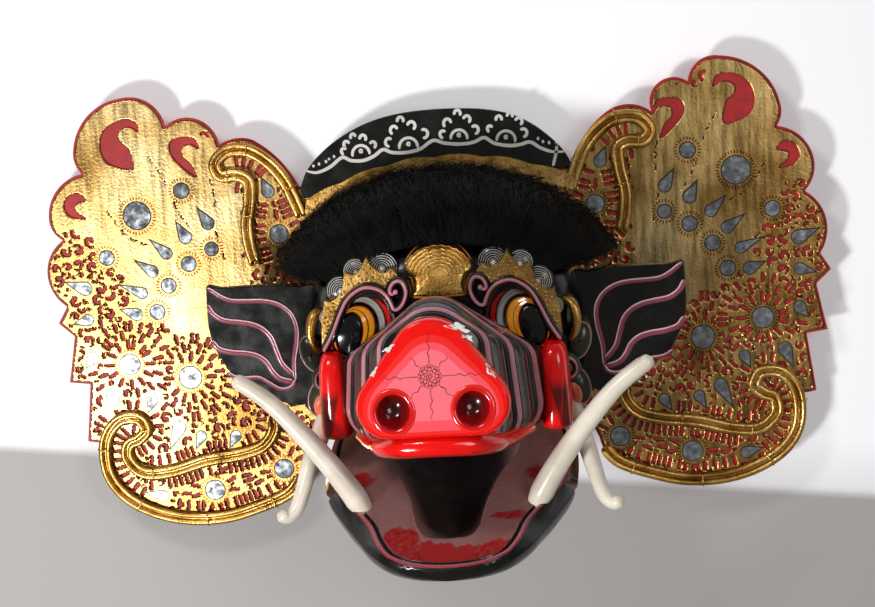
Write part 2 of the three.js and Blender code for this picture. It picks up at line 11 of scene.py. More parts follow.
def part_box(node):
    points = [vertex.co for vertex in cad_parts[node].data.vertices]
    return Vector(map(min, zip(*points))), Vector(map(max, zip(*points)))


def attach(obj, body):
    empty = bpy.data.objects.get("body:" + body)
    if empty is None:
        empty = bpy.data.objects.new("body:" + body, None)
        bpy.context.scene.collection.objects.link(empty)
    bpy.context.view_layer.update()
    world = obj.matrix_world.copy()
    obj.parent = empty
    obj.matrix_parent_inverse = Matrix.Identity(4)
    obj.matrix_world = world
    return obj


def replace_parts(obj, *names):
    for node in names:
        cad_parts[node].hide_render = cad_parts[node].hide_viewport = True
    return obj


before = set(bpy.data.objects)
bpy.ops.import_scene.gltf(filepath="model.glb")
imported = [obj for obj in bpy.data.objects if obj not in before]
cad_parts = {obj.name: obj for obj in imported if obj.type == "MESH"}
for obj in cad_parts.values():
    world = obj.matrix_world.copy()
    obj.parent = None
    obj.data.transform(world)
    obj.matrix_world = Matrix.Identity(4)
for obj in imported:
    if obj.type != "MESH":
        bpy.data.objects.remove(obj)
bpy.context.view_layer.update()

# Frame

MM = 0.001
HEAD_LOW, HEAD_HIGH = [np.array(list(corner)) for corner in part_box("head")]
COLLAR_MIDDLE_Y = 17.0
ORIGIN = (HEAD_LOW + HEAD_HIGH) / 2 - np.array([0.0, COLLAR_MIDDLE_Y * MM, 0.0])
ORIGIN[2] = HEAD_LOW[2]
HINGE = np.array([0.0, -75.0, 70.0])
JAW_OPENING = 25.0

rng = np.random.default_rng(7)


def placed(points):
    return ORIGIN + np.asarray(points, dtype=float) * MM


def full_turn(count):
    return 2 * math.pi * np.arange(count) / count


def around(centre, reach, angle):
    """Flat points at those angles and distances from a centre."""
    return np.stack([centre[0] + reach * np.cos(angle), centre[1] + reach * np.sin(angle)], axis=1)


def level(flat, height):
    """Flat points lifted to one height."""
    return np.c_[flat, np.full(len(flat), height)]


# Colours, linear

BLACK = (0.006, 0.0055, 0.005)
CHARCOAL = (0.022, 0.021, 0.019)
PINK = (0.52, 0.19, 0.23)
WHITE = (0.72, 0.70, 0.64)
GREY = (0.36, 0.32, 0.27)
RED = (0.62, 0.004, 0.004)
DARK_RED = (0.16, 0.004, 0.005)
BRIGHT_RED = (0.80, 0.004, 0.002)
NOSE_PINK = (0.88, 0.085, 0.11)
ORANGE = (0.80, 0.20, 0.012)
AMBER = (0.80, 0.31, 0.010)
SALMON = (0.72, 0.16, 0.09)
OLIVE = (0.035, 0.032, 0.018)

# Edge on the floor between the white backdrop and the lower part painted grey as shade, in metres of the
# scene
FLOOR_TURN = math.radians(5.94)
FLOOR_EDGE = 0.5 - 0.1667


# Node helpers

def new_material(name, color, roughness, metallic=0.0, coat=0.0, specular=0.5):
    material = bpy.data.materials.new(name)
    material.use_nodes = True
    shader = material.node_tree.nodes["Principled BSDF"]
    shader.inputs["Base Color"].default_value = (*color, 1.0)
    shader.inputs["Roughness"].default_value = roughness
    shader.inputs["Metallic"].default_value = metallic
    shader.inputs["Coat Weight"].default_value = coat
    shader.inputs["Coat Roughness"].default_value = 0.06
    shader.inputs["Specular IOR Level"].default_value = specular
    return material, material.node_tree, shader


def position(tree, stretch=(1.0, 1.0, 1.0), turn=0.0, shift=0.0):
    coordinates = tree.nodes.new("ShaderNodeTexCoord")
    mapping = tree.nodes.new("ShaderNodeMapping")
    mapping.inputs["Scale"].default_value = stretch
    mapping.inputs["Rotation"].default_value = (0.0, 0.0, turn)
    mapping.inputs["Location"].default_value = (0.0, shift, 0.0)
    tree.links.new(coordinates.outputs["Object"], mapping.inputs["Vector"])
    return mapping.outputs["Vector"]


def noise(tree, scale, detail=4.0, where=None, roughness=0.55):
    node = tree.nodes.new("ShaderNodeTexNoise")
    node.inputs["Scale"].default_value = scale
    node.inputs["Detail"].default_value = detail
    node.inputs["Roughness"].default_value = roughness
    tree.links.new(where or position(tree), node.inputs["Vector"])
    return node.outputs["Fac"]


def ramp(tree, value, stops):
    node = tree.nodes.new("ShaderNodeValToRGB")
    elements = node.color_ramp.elements
    while len(elements) < len(stops):
        elements.new(0.5)
    for element, (place, color) in zip(elements, stops):
        element.position = place
        element.color = (*color, 1.0)
    tree.links.new(value, node.inputs["Fac"])
    return node.outputs["Color"]


def grey_ramp(tree, value, stops):
    return ramp(tree, value, [(place, (shade,) * 3) for place, shade in stops])


def mixed(tree, factor, first, second, mode="MIX"):
    node = tree.nodes.new("ShaderNodeMix")
    node.data_type = "RGBA"
    node.blend_type = mode
    for socket, value in (("Factor_Float", factor), ("A_Color", first), ("B_Color", second)):
        target = next(s for s in node.inputs if s.identifier == socket)
        if isinstance(value, bpy.types.NodeSocket):
            tree.links.new(value, target)
        elif isinstance(value, (int, float)):
            target.default_value = value
        else:
            target.default_value = (*value, 1.0)
    return next(s for s in node.outputs if s.identifier == "Result_Color")


def painted(tree):
    node = tree.nodes.new("ShaderNodeAttribute")
    node.attribute_name = "paint"
    return node.outputs["Color"]


def bumped(tree, shader, height, strength, distance=0.0005):
    node = tree.nodes.new("ShaderNodeBump")
    node.inputs["Strength"].default_value = strength
    node.inputs["Distance"].default_value = distance
    tree.links.new(height, node.inputs["Height"])
    tree.links.new(node.outputs["Normal"], shader.inputs["Normal"])


# Materials

def make_lacquer(name="lacquer", roughness=(0.16, 0.34), coat=0.15):
    material, tree, shader = new_material(name, BLACK, 0.2, coat=coat, specular=0.4)
    dust = grey_ramp(tree, noise(tree, 90, 5), [(0.50, 0.0), (0.80, 0.025)])
    color = mixed(tree, dust, painted(tree), (0.20, 0.17, 0.14))
    tree.links.new(color, shader.inputs["Base Color"])
    gloss = grey_ramp(tree, noise(tree, 60, 3), [(0.35, roughness[0]), (0.7, roughness[1])])
    tree.links.new(gloss, shader.inputs["Roughness"])
    bumped(tree, shader, noise(tree, 140, 3), 0.12)
    return material


def make_gilt(name="gilt", dark=(0.28, 0.12, 0.02), light=(0.72, 0.42, 0.11), fine=900):
    material, tree, shader = new_material(name, light, 0.35, metallic=1.0)
    worn = noise(tree, 38, 6)
    color = ramp(tree, worn, [(0.28, dark), (0.5, light), (0.75, (0.88, 0.60, 0.24))])
    grain = grey_ramp(tree, noise(tree, fine, 3), [(0.35, 0.72), (0.65, 1.0)])
    tree.links.new(mixed(tree, 1.0, color, grain, "MULTIPLY"), shader.inputs["Base Color"])
    gloss = grey_ramp(tree, noise(tree, 130, 4), [(0.3, 0.24), (0.7, 0.46)])
    tree.links.new(gloss, shader.inputs["Roughness"])
    bumped(tree, shader, noise(tree, fine * 0.6, 2), 0.5, 0.0006)
    return material


def make_leaf():
    material, tree, shader = new_material("gold_leaf", (0.9, 0.5, 0.1), 0.35, metallic=1.0)
    streaks = noise(tree, 260, 3, position(tree, (1.0, 0.10, 1.0), math.radians(-35)))
    patches = noise(tree, 16, 5)
    color = ramp(tree, patches, [(0.3, (0.36, 0.20, 0.055)), (0.5, (0.70, 0.46, 0.17)),
                                 (0.7, (0.88, 0.67, 0.34))])
    shade = grey_ramp(tree, streaks, [(0.35, 0.68), (0.62, 1.0)])
    color = mixed(tree, 1.0, color, shade, "MULTIPLY")
    tree.links.new(mixed(tree, 1.0, color, painted(tree), "MULTIPLY"), shader.inputs["Base Color"])
    gloss = grey_ramp(tree, streaks, [(0.3, 0.26), (0.7, 0.42)])
    tree.links.new(gloss, shader.inputs["Roughness"])
    bumped(tree, shader, noise(tree, 420, 4), 0.45, 0.0005)
    return material


def make_mirror():
    material, tree, shader = new_material("mirror_glass", (0.50, 0.52, 0.55), 0.12, metallic=0.9)
    haze = ramp(tree, noise(tree, 220, 5), [(0.35, (0.26, 0.28, 0.30)), (0.7, (0.66, 0.69, 0.72))])
    tree.links.new(haze, shader.inputs["Base Color"])
    gloss = grey_ramp(tree, noise(tree, 150, 4), [(0.35, 0.10), (0.75, 0.38)])
    tree.links.new(gloss, shader.inputs["Roughness"])
    return material


def make_hide():
    material, tree, shader = new_material("red_hide", RED, 0.55)
    color = ramp(tree, noise(tree, 70, 4), [(0.3, (0.26, 0.002, 0.003)), (0.7, (0.46, 0.005, 0.006))])
    tree.links.new(color, shader.inputs["Base Color"])
    bumped(tree, shader, noise(tree, 500, 3), 0.3)
    return material


def make_ivory():
    material, tree, shader = new_material("ivory_paint", (0.80, 0.72, 0.58), 0.28, coat=0.3)
    color = ramp(tree, noise(tree, 26, 4), [(0.3, (0.62, 0.52, 0.40)), (0.6, (0.84, 0.77, 0.65))])
    tree.links.new(color, shader.inputs["Base Color"])
    bumped(tree, shader, noise(tree, 60, 2), 0.1)
    return material


def make_fur():
    material, tree, shader = new_material("black_fur", (0.004, 0.004, 0.005), 0.55, specular=0.08)
    color = ramp(tree, noise(tree, 60, 3), [(0.35, (0.002, 0.002, 0.0022)), (0.75, (0.008, 0.007, 0.006))])
    tree.links.new(color, shader.inputs["Base Color"])
    return material


def make_jaw_paint():
    material, tree, shader = new_material("jaw_paint", (0.3, 0.12, 0.1), 0.3, coat=0.25)
    worn = noise(tree, 34, 6)
    bare = grey_ramp(tree, worn, [(0.55, 0.0), (0.66, 0.30)])
    color = mixed(tree, bare, painted(tree), (0.30, 0.035, 0.030))
    dust = grey_ramp(tree, noise(tree, 260, 4), [(0.45, 0.0), (0.7, 0.22)])
    color = mixed(tree, dust, color, (0.36, 0.25, 0.22))
    tree.links.new(color, shader.inputs["Base Color"])
    gloss = grey_ramp(tree, noise(tree, 90, 4), [(0.35, 0.20), (0.7, 0.42)])
    tree.links.new(gloss, shader.inputs["Roughness"])
    bumped(tree, shader, noise(tree, 380, 4), 0.3)
    return material


def make_bare_wood():
    material, tree, shader = new_material("bare_wood", (0.3, 0.2, 0.11), 0.7)
    grain = noise(tree, 120, 5, position(tree, (1.0, 1.0, 0.12)))
    color = ramp(tree, grain, [(0.3, (0.20, 0.12, 0.06)), (0.7, (0.42, 0.29, 0.17))])
    tree.links.new(color, shader.inputs["Base Color"])
    bumped(tree, shader, grain, 0.4)
    return material


def make_floor():
    material, tree, shader = new_material("floor", (0.80, 0.80, 0.82), 0.7)
    split = tree.nodes.new("ShaderNodeSeparateXYZ")
    tree.links.new(position(tree, turn=FLOOR_TURN, shift=0.5), split.inputs["Vector"])
    # below the edge the floor is painted grey as shade
    color = ramp(tree, split.outputs["Y"], [(FLOOR_EDGE - 0.004, (0.42, 0.40, 0.39)),
                                            (FLOOR_EDGE + 0.004, (0.88, 0.88, 0.90))])
    glow = grey_ramp(tree, split.outputs["Y"], [(FLOOR_EDGE - 0.004, 0.0), (FLOOR_EDGE + 0.05, 0.22)])
    tree.links.new(color, shader.inputs["Base Color"])
    tree.links.new(color, shader.inputs["Emission Color"])
    tree.links.new(glow, shader.inputs["Emission Strength"])
    return material


LACQUER = make_lacquer()
LACQUER_SMOOTH = make_lacquer("smooth_lacquer", (0.10, 0.24), 0.5)
GILT = make_gilt()
LEAF = make_leaf()
MIRROR = make_mirror()
HIDE = make_hide()
IVORY = make_ivory()
FUR = make_fur()
JAW_PAINT = make_jaw_paint()
THROAT_PAINT = make_lacquer("throat_paint", (0.55, 0.75), 0.0)
BARE_WOOD = make_bare_wood()


# Meshes

def new_mesh(name, points, faces, materials, slots=None, colors=None, smooth=True):
    if not isinstance(materials, (list, tuple)):
        materials = [materials]
    faces = faces if isinstance(faces, list) else [faces]
    faces = [np.asarray(group, dtype=np.int32) for group in faces if len(group)]
    mesh = bpy.data.meshes.new(name)
    mesh.vertices.add(len(points))
    mesh.vertices.foreach_set("co", placed(points).ravel())
    loops = np.concatenate([group.ravel() for group in faces])
    sizes = np.concatenate([np.full(len(group), group.shape[1]) for group in faces])
    mesh.loops.add(len(loops))
    mesh.loops.foreach_set("vertex_index", loops)
    mesh.polygons.add(len(sizes))
    mesh.polygons.foreach_set("loop_start", np.concatenate([[0], np.cumsum(sizes)[:-1]]))
    for material in materials:
        mesh.materials.append(material)
    if slots is not None:
        mesh.polygons.foreach_set("material_index", np.asarray(slots, dtype=np.int32))
    mesh.update(calc_edges=True)
    mesh.validate()
    mesh.polygons.foreach_set("use_smooth", np.full(len(mesh.polygons), smooth))
    if colors is not None:
        colors = np.asarray(colors, dtype=float)
        if colors.ndim == 1:
            colors = np.tile(colors, (len(points), 1))
        attribute = mesh.attributes.new("paint", "FLOAT_COLOR", "POINT")
        attribute.data.foreach_set("color", np.c_[colors, np.ones(len(colors))].ravel())
    return mesh


def show(name, mesh, body="root"):
    made = bpy.data.objects.new(name, mesh)
    bpy.context.scene.collection.objects.link(made)
    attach(made, body)
    return made


def piece(name, points, faces, materials, body="root", slot=None, slots=None, colors=None, smooth=True):
    return show(name, new_mesh(name, points, faces, materials, slots, colors, smooth), body)


def grid_faces(rows, columns, wrap=False, start=0):
    across = columns if wrap else columns - 1
    i, j = np.meshgrid(np.arange(rows - 1), np.arange(across), indexing="ij")
    i, j = i.ravel(), j.ravel()
    k = (j + 1) % columns
    return start + np.c_[i * columns + j, i * columns + k, (i + 1) * columns + k, (i + 1) * columns + j]


class Bundle:
    """Several small meshes gathered into one piece."""

    def __init__(self):
        self.points, self.quads, self.triangles, self.colors = [], [], [], []
        self.count = 0

    def add(self, points, quads=(), triangles=(), color=None):
        points = np.asarray(points, dtype=float).reshape(-1, 3)
        if len(quads):
            self.quads.append(np.asarray(quads) + self.count)
        if len(triangles):
            self.triangles.append(np.asarray(triangles) + self.count)
        color = np.ones(3) if color is None else np.asarray(color, dtype=float)
        self.colors.append(np.broadcast_to(color, points.shape))
        self.points.append(points)
        self.count += len(points)

    def make(self, name, material, body="root", slot=None, smooth=True):
        faces = [np.concatenate(group) for group in (self.quads, self.triangles) if group]
        return piece(name, np.concatenate(self.points), faces, material, body, slot,
                     colors=np.concatenate(self.colors), smooth=smooth)


def smooth_path(points, count, closed=False):
    points = np.asarray(points, dtype=float)
    if closed:
        padded = np.concatenate([points[-1:], points, points[:2]])
    else:
        padded = np.concatenate([2 * points[:1] - points[1:2], points, 2 * points[-1:] - points[-2:-1]])
    spans = len(padded) - 3
    share = np.linspace(0, spans, spans * 24 + 1)
    i = np.minimum(share.astype(int), spans - 1)
    t = (share - i)[:, None]
    a, b, c, d = padded[i], padded[i + 1], padded[i + 2], padded[i + 3]
    dense = 0.5 * (2 * b + (c - a) * t + (2 * a - 5 * b + 4 * c - d) * t ** 2 + (3 * b - a - 3 * c + d)
                   * t ** 3)
    lengths = np.concatenate([[0], np.cumsum(np.linalg.norm(np.diff(dense, axis=0), axis=1))])
    wanted = np.linspace(0, lengths[-1], count, endpoint=not closed)
    return np.stack([np.interp(wanted, lengths, dense[:, k]) for k in range(dense.shape[1])], axis=1)


def unit(vectors):
    return vectors / np.maximum(np.linalg.norm(vectors, axis=-1, keepdims=True), 1e-9)


def path_frames(path, up):
    along = unit(np.gradient(path, axis=0))
    side = unit(np.cross(np.broadcast_to(up, path.shape), along))
    return along, side, np.cross(along, side)


def tube(path, half_side, half_rise, sides=16, up=(0.0, 0.0, 1.0), ends=True):
    """Points and faces of a bar along a path, closed with rounded ends."""
    path = np.asarray(path, dtype=float)
    count = len(path)
    half_side = np.broadcast_to(half_side, count).astype(float)
    half_rise = np.broadcast_to(half_rise, count).astype(float)
    _, side, rise = path_frames(path, up)
    angle = full_turn(sides)
    rings = (path[:, None] + side[:, None] * (half_side[:, None] * np.cos(angle))[..., None]
             + rise[:, None] * (half_rise[:, None] * np.sin(angle))[..., None])
    points = rings.reshape(-1, 3)
    quads = grid_faces(count, sides, wrap=True)
    if not ends:
        return points, quads, np.zeros((0, 3), int)
    points = np.concatenate([points, path[:1], path[-1:]])
    j = np.arange(sides)
    first = np.c_[np.full(sides, count * sides), (j + 1) % sides, j]
    base = (count - 1) * sides
    last = np.c_[np.full(sides, count * sides + 1), base + j, base + (j + 1) % sides]
    return points, quads, np.concatenate([first, last])


def rounded_ends(count, taper=0.06, floor=0.25):
    share = np.linspace(0, 1, count)
    edge = np.minimum(share, 1 - share) / taper
    return floor + (1 - floor) * np.sqrt(np.clip(1 - (1 - np.clip(edge, 0, 1)) ** 2, 0, 1))


def arc(a, b, c, count):
    """Points on the arc through three points, without the last."""
    (ax, ay), (bx, by), (cx, cy) = a, b, c
    d = 2 * (ax * (by - cy) + bx * (cy - ay) + cx * (ay - by))
    a2, b2, c2 = ax * ax + ay * ay, bx * bx + by * by, cx * cx + cy * cy
    x = (a2 * (by - cy) + b2 * (cy - ay) + c2 * (ay - by)) / d
    y = (a2 * (cx - bx) + b2 * (ax - cx) + c2 * (bx - ax)) / d
    radius = math.hypot(ax - x, ay - y)
    start = math.atan2(ay - y, ax - x)
    turn = 1 if d > 0 else -1
    span = turn * ((turn * (math.atan2(cy - y, cx - x) - start)) % (2 * math.pi))
    angle = start + span * np.arange(count) / count
    return [[x + radius * math.cos(t), y + radius * math.sin(t)] for t in angle]


def resampled(outline, step):
    outline = np.asarray(outline, dtype=float)
    loop = np.concatenate([outline, outline[:1]])
    lengths = np.concatenate([[0], np.cumsum(np.linalg.norm(np.diff(loop, axis=0), axis=1))])
    wanted = np.linspace(0, lengths[-1], int(lengths[-1] / step), endpoint=False)
    return np.stack([np.interp(wanted, lengths, loop[:, k]) for k in range(2)], axis=1)


def slab(outline, low, high, bevel=0.4):
    """A flat board with softened edges; the outline runs counterclockwise."""
    outline = np.asarray(outline, dtype=float)
    tangent = unit(np.roll(outline, -1, axis=0) - np.roll(outline, 1, axis=0))
    inner = outline + np.c_[-tangent[:, 1], tangent[:, 0]] * bevel
    levels = [(inner, low), (outline, low + bevel), (outline, high - bevel), (inner, high)]
    points = np.concatenate([level(line, z) for line, z in levels])
    count = len(outline)
    faces = [grid_faces(4, count, wrap=True)]
    faces.append(np.arange(count)[::-1][None])
    faces.append((3 * count + np.arange(count))[None])
    return points, faces


def counterclockwise(outline):
    following = np.roll(outline, -1, axis=0)
    area = np.sum(outline[:, 0] * following[:, 1] - following[:, 0] * outline[:, 1])
    return outline if area > 0 else outline[::-1]


def mirrored_points(points):
    return np.asarray(points) * np.array([-1.0, 1.0, 1.0])


def flipped(faces):
    return [np.asarray(group)[:, ::-1] for group in faces]


def on_side(side, points, faces):
    """A shape drawn on the right, mirrored for the left."""
    return (points, faces) if side == "right" else (mirrored_points(points), flipped(faces))


# Wing drawing, shared with the solids

HIDE_THICKNESS = 3.0
GILT_THICKNESS = 1.5
GILT_INSET = 2.5
WING_FOOT = 24.3
GILT_TOP = 29.1
RIGHT_SCALE, RIGHT_SHIFT = 0.977, (-13.0, 12.5)
RIGHT_CURL_LEAN = 9.0

LEFT_LOBES = [
    [(-128, 119), (-144.3, 144.3), (-165.9, 162.3)],
    [(-165.9, 162.3), (-181, 164.5), (-196, 159.6)],
    [(-196, 159.6), (-212, 182.5), (-243, 178.5)],
    [(-243, 178.5), (-256, 200.5), (-278, 206)],
    [(-278, 206), (-311, 192.5), (-327.2, 162.8)],
    [(-327.2, 162.8), (-327, 151), (-321.4, 141)],
    [(-321.4, 141), (-350, 122), (-355.5, 99.6)],
    [(-355.5, 99.6), (-352, 89.5), (-344.7, 82.6)],
    [(-344.7, 82.6), (-362, 55), (-347.1, 22)],
]
RIGHT_LOBES = [
    [(-114, 123.7), (-126, 148.5), (-144.9, 167.2)],
    [(-144.9, 167.2), (-165, 173.5), (-185.4, 165.6)],
    [(-185.4, 165.6), (-193, 191), (-217.4, 189.9)],
    [(-217.4, 189.9), (-226, 206), (-245.5, 210.4)],
    [(-245.5, 210.4), (-282, 193), (-296, 164.9)],
    [(-296, 164.9), (-296, 155.5), (-292, 147)],
    [(-292, 147), (-317, 131.5), (-323.5, 111.4)],
    [(-323.5, 111.4), (-321, 99), (-314.3, 89.2)],
    [(-314.3, 89.2), (-332.8, 60), (-323.8, 30.7)],
]
SAW_TEETH = [(-347.1, 22), (-356.5, 7), (-343, -5.6), (-350, -40), (-352, -48), (-333, -50.5), (-337, -79),
             (-340.5, -104)]
FOOT_ARCS = [
    [(-327.6, -106), (-322, -143), (-303.4, -162.8)],
    [(-303.4, -162.8), (-275, -178.5), (-241, -184)],
    [(-241, -184), (-200, -178.2), (-168.6, -167.6)],
    [(-168.6, -167.6), (-151, -157), (-142.3, -138.4)],
]
INNER_EDGE = [(-142.3, -138.4), (-134, -120), (-112, -104), (-108, 112)]
MAIN_CURL = [(-266.6, 175.3), (-269, 184.5), (-280, 187.3), (-296, 180), (-302.6, 164.5), (-297, 149),
             (-276, 142.2), (-274.5, 152), (-277.5, 162), (-285, 169), (-284, 177), (-275, 180)]
SECOND_CURL = [(-214, 156.9), (-216.5, 166), (-227, 169), (-238.5, 165.5), (-240, 154), (-230, 141),
               (-218, 132), (-222, 144), (-229, 152), (-228, 160), (-220, 161)]
OUTER_CURL = [(-319.8, 117.7), (-327, 124.3), (-336.5, 121), (-340.5, 111.5), (-335, 103), (-321, 100.7),
              (-329, 107), (-330, 114)]
SCROLL = [(-146, -146), (-160, -161), (-189, -172.5), (-220, -180), (-255, -179.5), (-286, -170.5),
          (-310, -154.5), (-323, -132), (-322.5, -103), (-309, -85), (-291, -83.5), (-284.5, -95),
          (-292, -103), (-302, -108), (-303, -122), (-289, -135), (-264, -134.5), (-232, -126),
          (-199, -121.5), (-178, -114.5), (-167.5, -101), (-167, -90)]
LEAF_ROD = [(-126.5, 92), (-132, 108), (-140.5, 127), (-153, 142.5), (-170, 153.5), (-189, 153.5),
            (-200, 143), (-195, 132.5), (-181, 132.5), (-171.5, 126), (-172, 108), (-176, 88), (-175, 69),
            (-171, 52)]

# Round mirrors as centre and radius, on the left wing
ROUND_MIRRORS = [(-274.8, 101.2, 12), (-232.8, 121.2, 6.5), (-305.9, 64.7, 6.3), (-210.3, 67.6, 5.7),
                 (-232.2, 55.2, 6.3), (-252, 36.6, 6.3), (-148.5, 77.7, 7.8), (-264.5, 13.1, 6.4),
                 (-294.2, -33.7, 9), (-240, -48.6, 10), (-161.3, -137.7, 8.3), (-226.5, -154.7, 8.7)]

# Drop-shaped mirrors of the left wing by pixels of the photograph: tip, body centre, radius
DROPS = [(198.4, 209.7, 208, 223.5, 6), (176.9, 223.5, 185.5, 237.6, 6), (151.9, 241.5, 166.6, 253.6, 5.5),
         (136.4, 261.7, 152.8, 271.7, 5.5), (121.8, 285.8, 142.5, 293.2, 5.2),
         (66.7, 282.9, 85.6, 288.9, 6.5), (262.1, 179.5, 268.2, 191.6, 5.7),
         (122.1, 309.9, 136.6, 314.5, 5.8), (107.6, 414, 112.9, 397.2, 6.4), (148.9, 411, 152.7, 400.3, 5),
         (171, 447.7, 179.5, 427, 6.5), (197.1, 447, 201.7, 435.5, 5), (230.8, 446, 236.1, 435.5, 5),
         (148.1, 492.9, 163.4, 495.9, 5.4), (75.1, 324.2, 88.4, 320, 5.3), (87, 367, 93.3, 357.9, 5.6)]

# Camera, found by matching paired features of the mask

FOCAL_PIXELS = 1760.0
PICTURE = (875, 607)
AIM = np.array([-6.5, 19.0, 95.0])
DISTANCE = 1500.0
YAW, PITCH, ROLL = math.radians(4.4), math.radians(10.0), math.radians(3.8)
BACK = np.array([math.sin(YAW) * math.cos(PITCH), math.sin(PITCH), math.cos(YAW) * math.cos(PITCH)])
LEVEL_RIGHT = unit(np.cross([0.0, 1.0, 0.0], BACK))
LEVEL_UP = np.cross(BACK, LEVEL_RIGHT)
RIGHT = LEVEL_RIGHT * math.cos(ROLL) - LEVEL_UP * math.sin(ROLL)
UP = LEVEL_RIGHT * math.sin(ROLL) + LEVEL_UP * math.cos(ROLL)
EYE = AIM + BACK * DISTANCE


def lifted(px, py, height):
    """Point of the mask frame at that height that the photograph shows at that pixel."""
    across = (px - PICTURE[0] / 2) / FOCAL_PIXELS
    down = (py - PICTURE[1] / 2) / FOCAL_PIXELS
    ray = -BACK + across * RIGHT - down * UP
    return EYE + ray * (height - EYE[2]) / ray[2]


def make_camera():
    data = bpy.data.cameras.new("camera")
    data.sensor_width = 36.0
    data.lens = FOCAL_PIXELS / PICTURE[0] * 36.0
    camera = bpy.data.objects.new("camera", data)
    rotation = Matrix([[RIGHT[k], UP[k], BACK[k]] for k in range(3)])
    camera.matrix_world = Matrix.Translation(Vector(placed(EYE))) @ rotation.to_4x4()
    bpy.context.scene.collection.objects.link(camera)
    bpy.context.scene.camera = camera


def area_light(name, place, aim, size, power, color=(1.0, 1.0, 1.0)):
    data = bpy.data.lights.new(name, "AREA")
    data.shape = "RECTANGLE"
    data.size, data.size_y = size
    data.energy = power
    data.color = color
    light = bpy.data.objects.new(name, data)
    light.location = Vector(place)
    light.rotation_euler = (Vector(aim) - Vector(place)).to_track_quat("-Z", "Y").to_euler()
    bpy.context.scene.collection.objects.link(light)


def make_studio():
    world = bpy.data.worlds.new("studio")
    world.use_nodes = True
    world.node_tree.nodes["Background"].inputs["Color"].default_value = (1.0, 1.0, 1.0, 1.0)
    world.node_tree.nodes["Background"].inputs["Strength"].default_value = 0.13
    bpy.context.scene.world = world
    bpy.context.scene.view_settings.view_transform = "Standard"
    area_light("key", (-0.80, -0.50, 1.35), (0.0, 0.0, 0.1), (0.22, 0.22), 19)
    area_light("fill", (0.85, 0.35, 1.40), (0.0, 0.0, 0.1), (0.7, 0.5), 5)
    area_light("glance", (-0.55, 0.95, 1.10), (-0.1, 0.0, 0.05), (0.35, 0.20), 6)
    mesh = bpy.data.meshes.new("floor")
    side = 6.0
    mesh.from_pydata([(-side, -side, 0), (side, -side, 0), (side, side, 0), (-side, side, 0)], [],
                     [(0, 1, 2, 3)])
    mesh.materials.append(make_floor())
    floor = bpy.data.objects.new("floor", mesh)
    bpy.context.scene.collection.objects.link(floor)


# Wings

def wing_outline(lobes, place, step):
    lower = list(SAW_TEETH)
    for points in FOOT_ARCS:
        lower += arc(*points, 24)
    lower += INNER_EDGE
    upper = [p for points in lobes for p in arc(*points, 24)]
    outline = np.array(upper + [place(p) for p in lower], dtype=float)
    return resampled(outline, step) if step else outline


def as_drawn(point):
    return tuple(point)


def as_on_the_right(point):
    return (point[0] * RIGHT_SCALE - RIGHT_SHIFT[0], point[1] * RIGHT_SCALE + RIGHT_SHIFT[1])


def line_distance(points, line, closed=True):
    """Distance from each point to a line of points."""
    best = np.full(len(points), 1e9)
    ends = np.roll(line, -1, axis=0) if closed else line[1:]
    for a, b in zip(line, ends):
        run = b - a
        share = np.clip(((points - a) @ run) / max(run @ run, 1e-9), 0, 1)
        away = points - a - share[:, None] * run
        best = np.minimum(best, np.einsum("ij,ij->i", away, away))
    return np.sqrt(best)


def inside(points, line):
    result = np.zeros(len(points), bool)
    for a, b in zip(line, np.roll(line, -1, axis=0)):
        crosses = (a[1] > points[:, 1]) != (b[1] > points[:, 1])
        if abs(b[1] - a[1]) > 1e-12:
            x = a[0] + (points[:, 1] - a[1]) * (b[0] - a[0]) / (b[1] - a[1])
            result ^= crosses & (points[:, 0] < x)
    return result


def signed_distance(points, line):
    return np.where(inside(points, line), 1.0, -1.0) * line_distance(points, line)


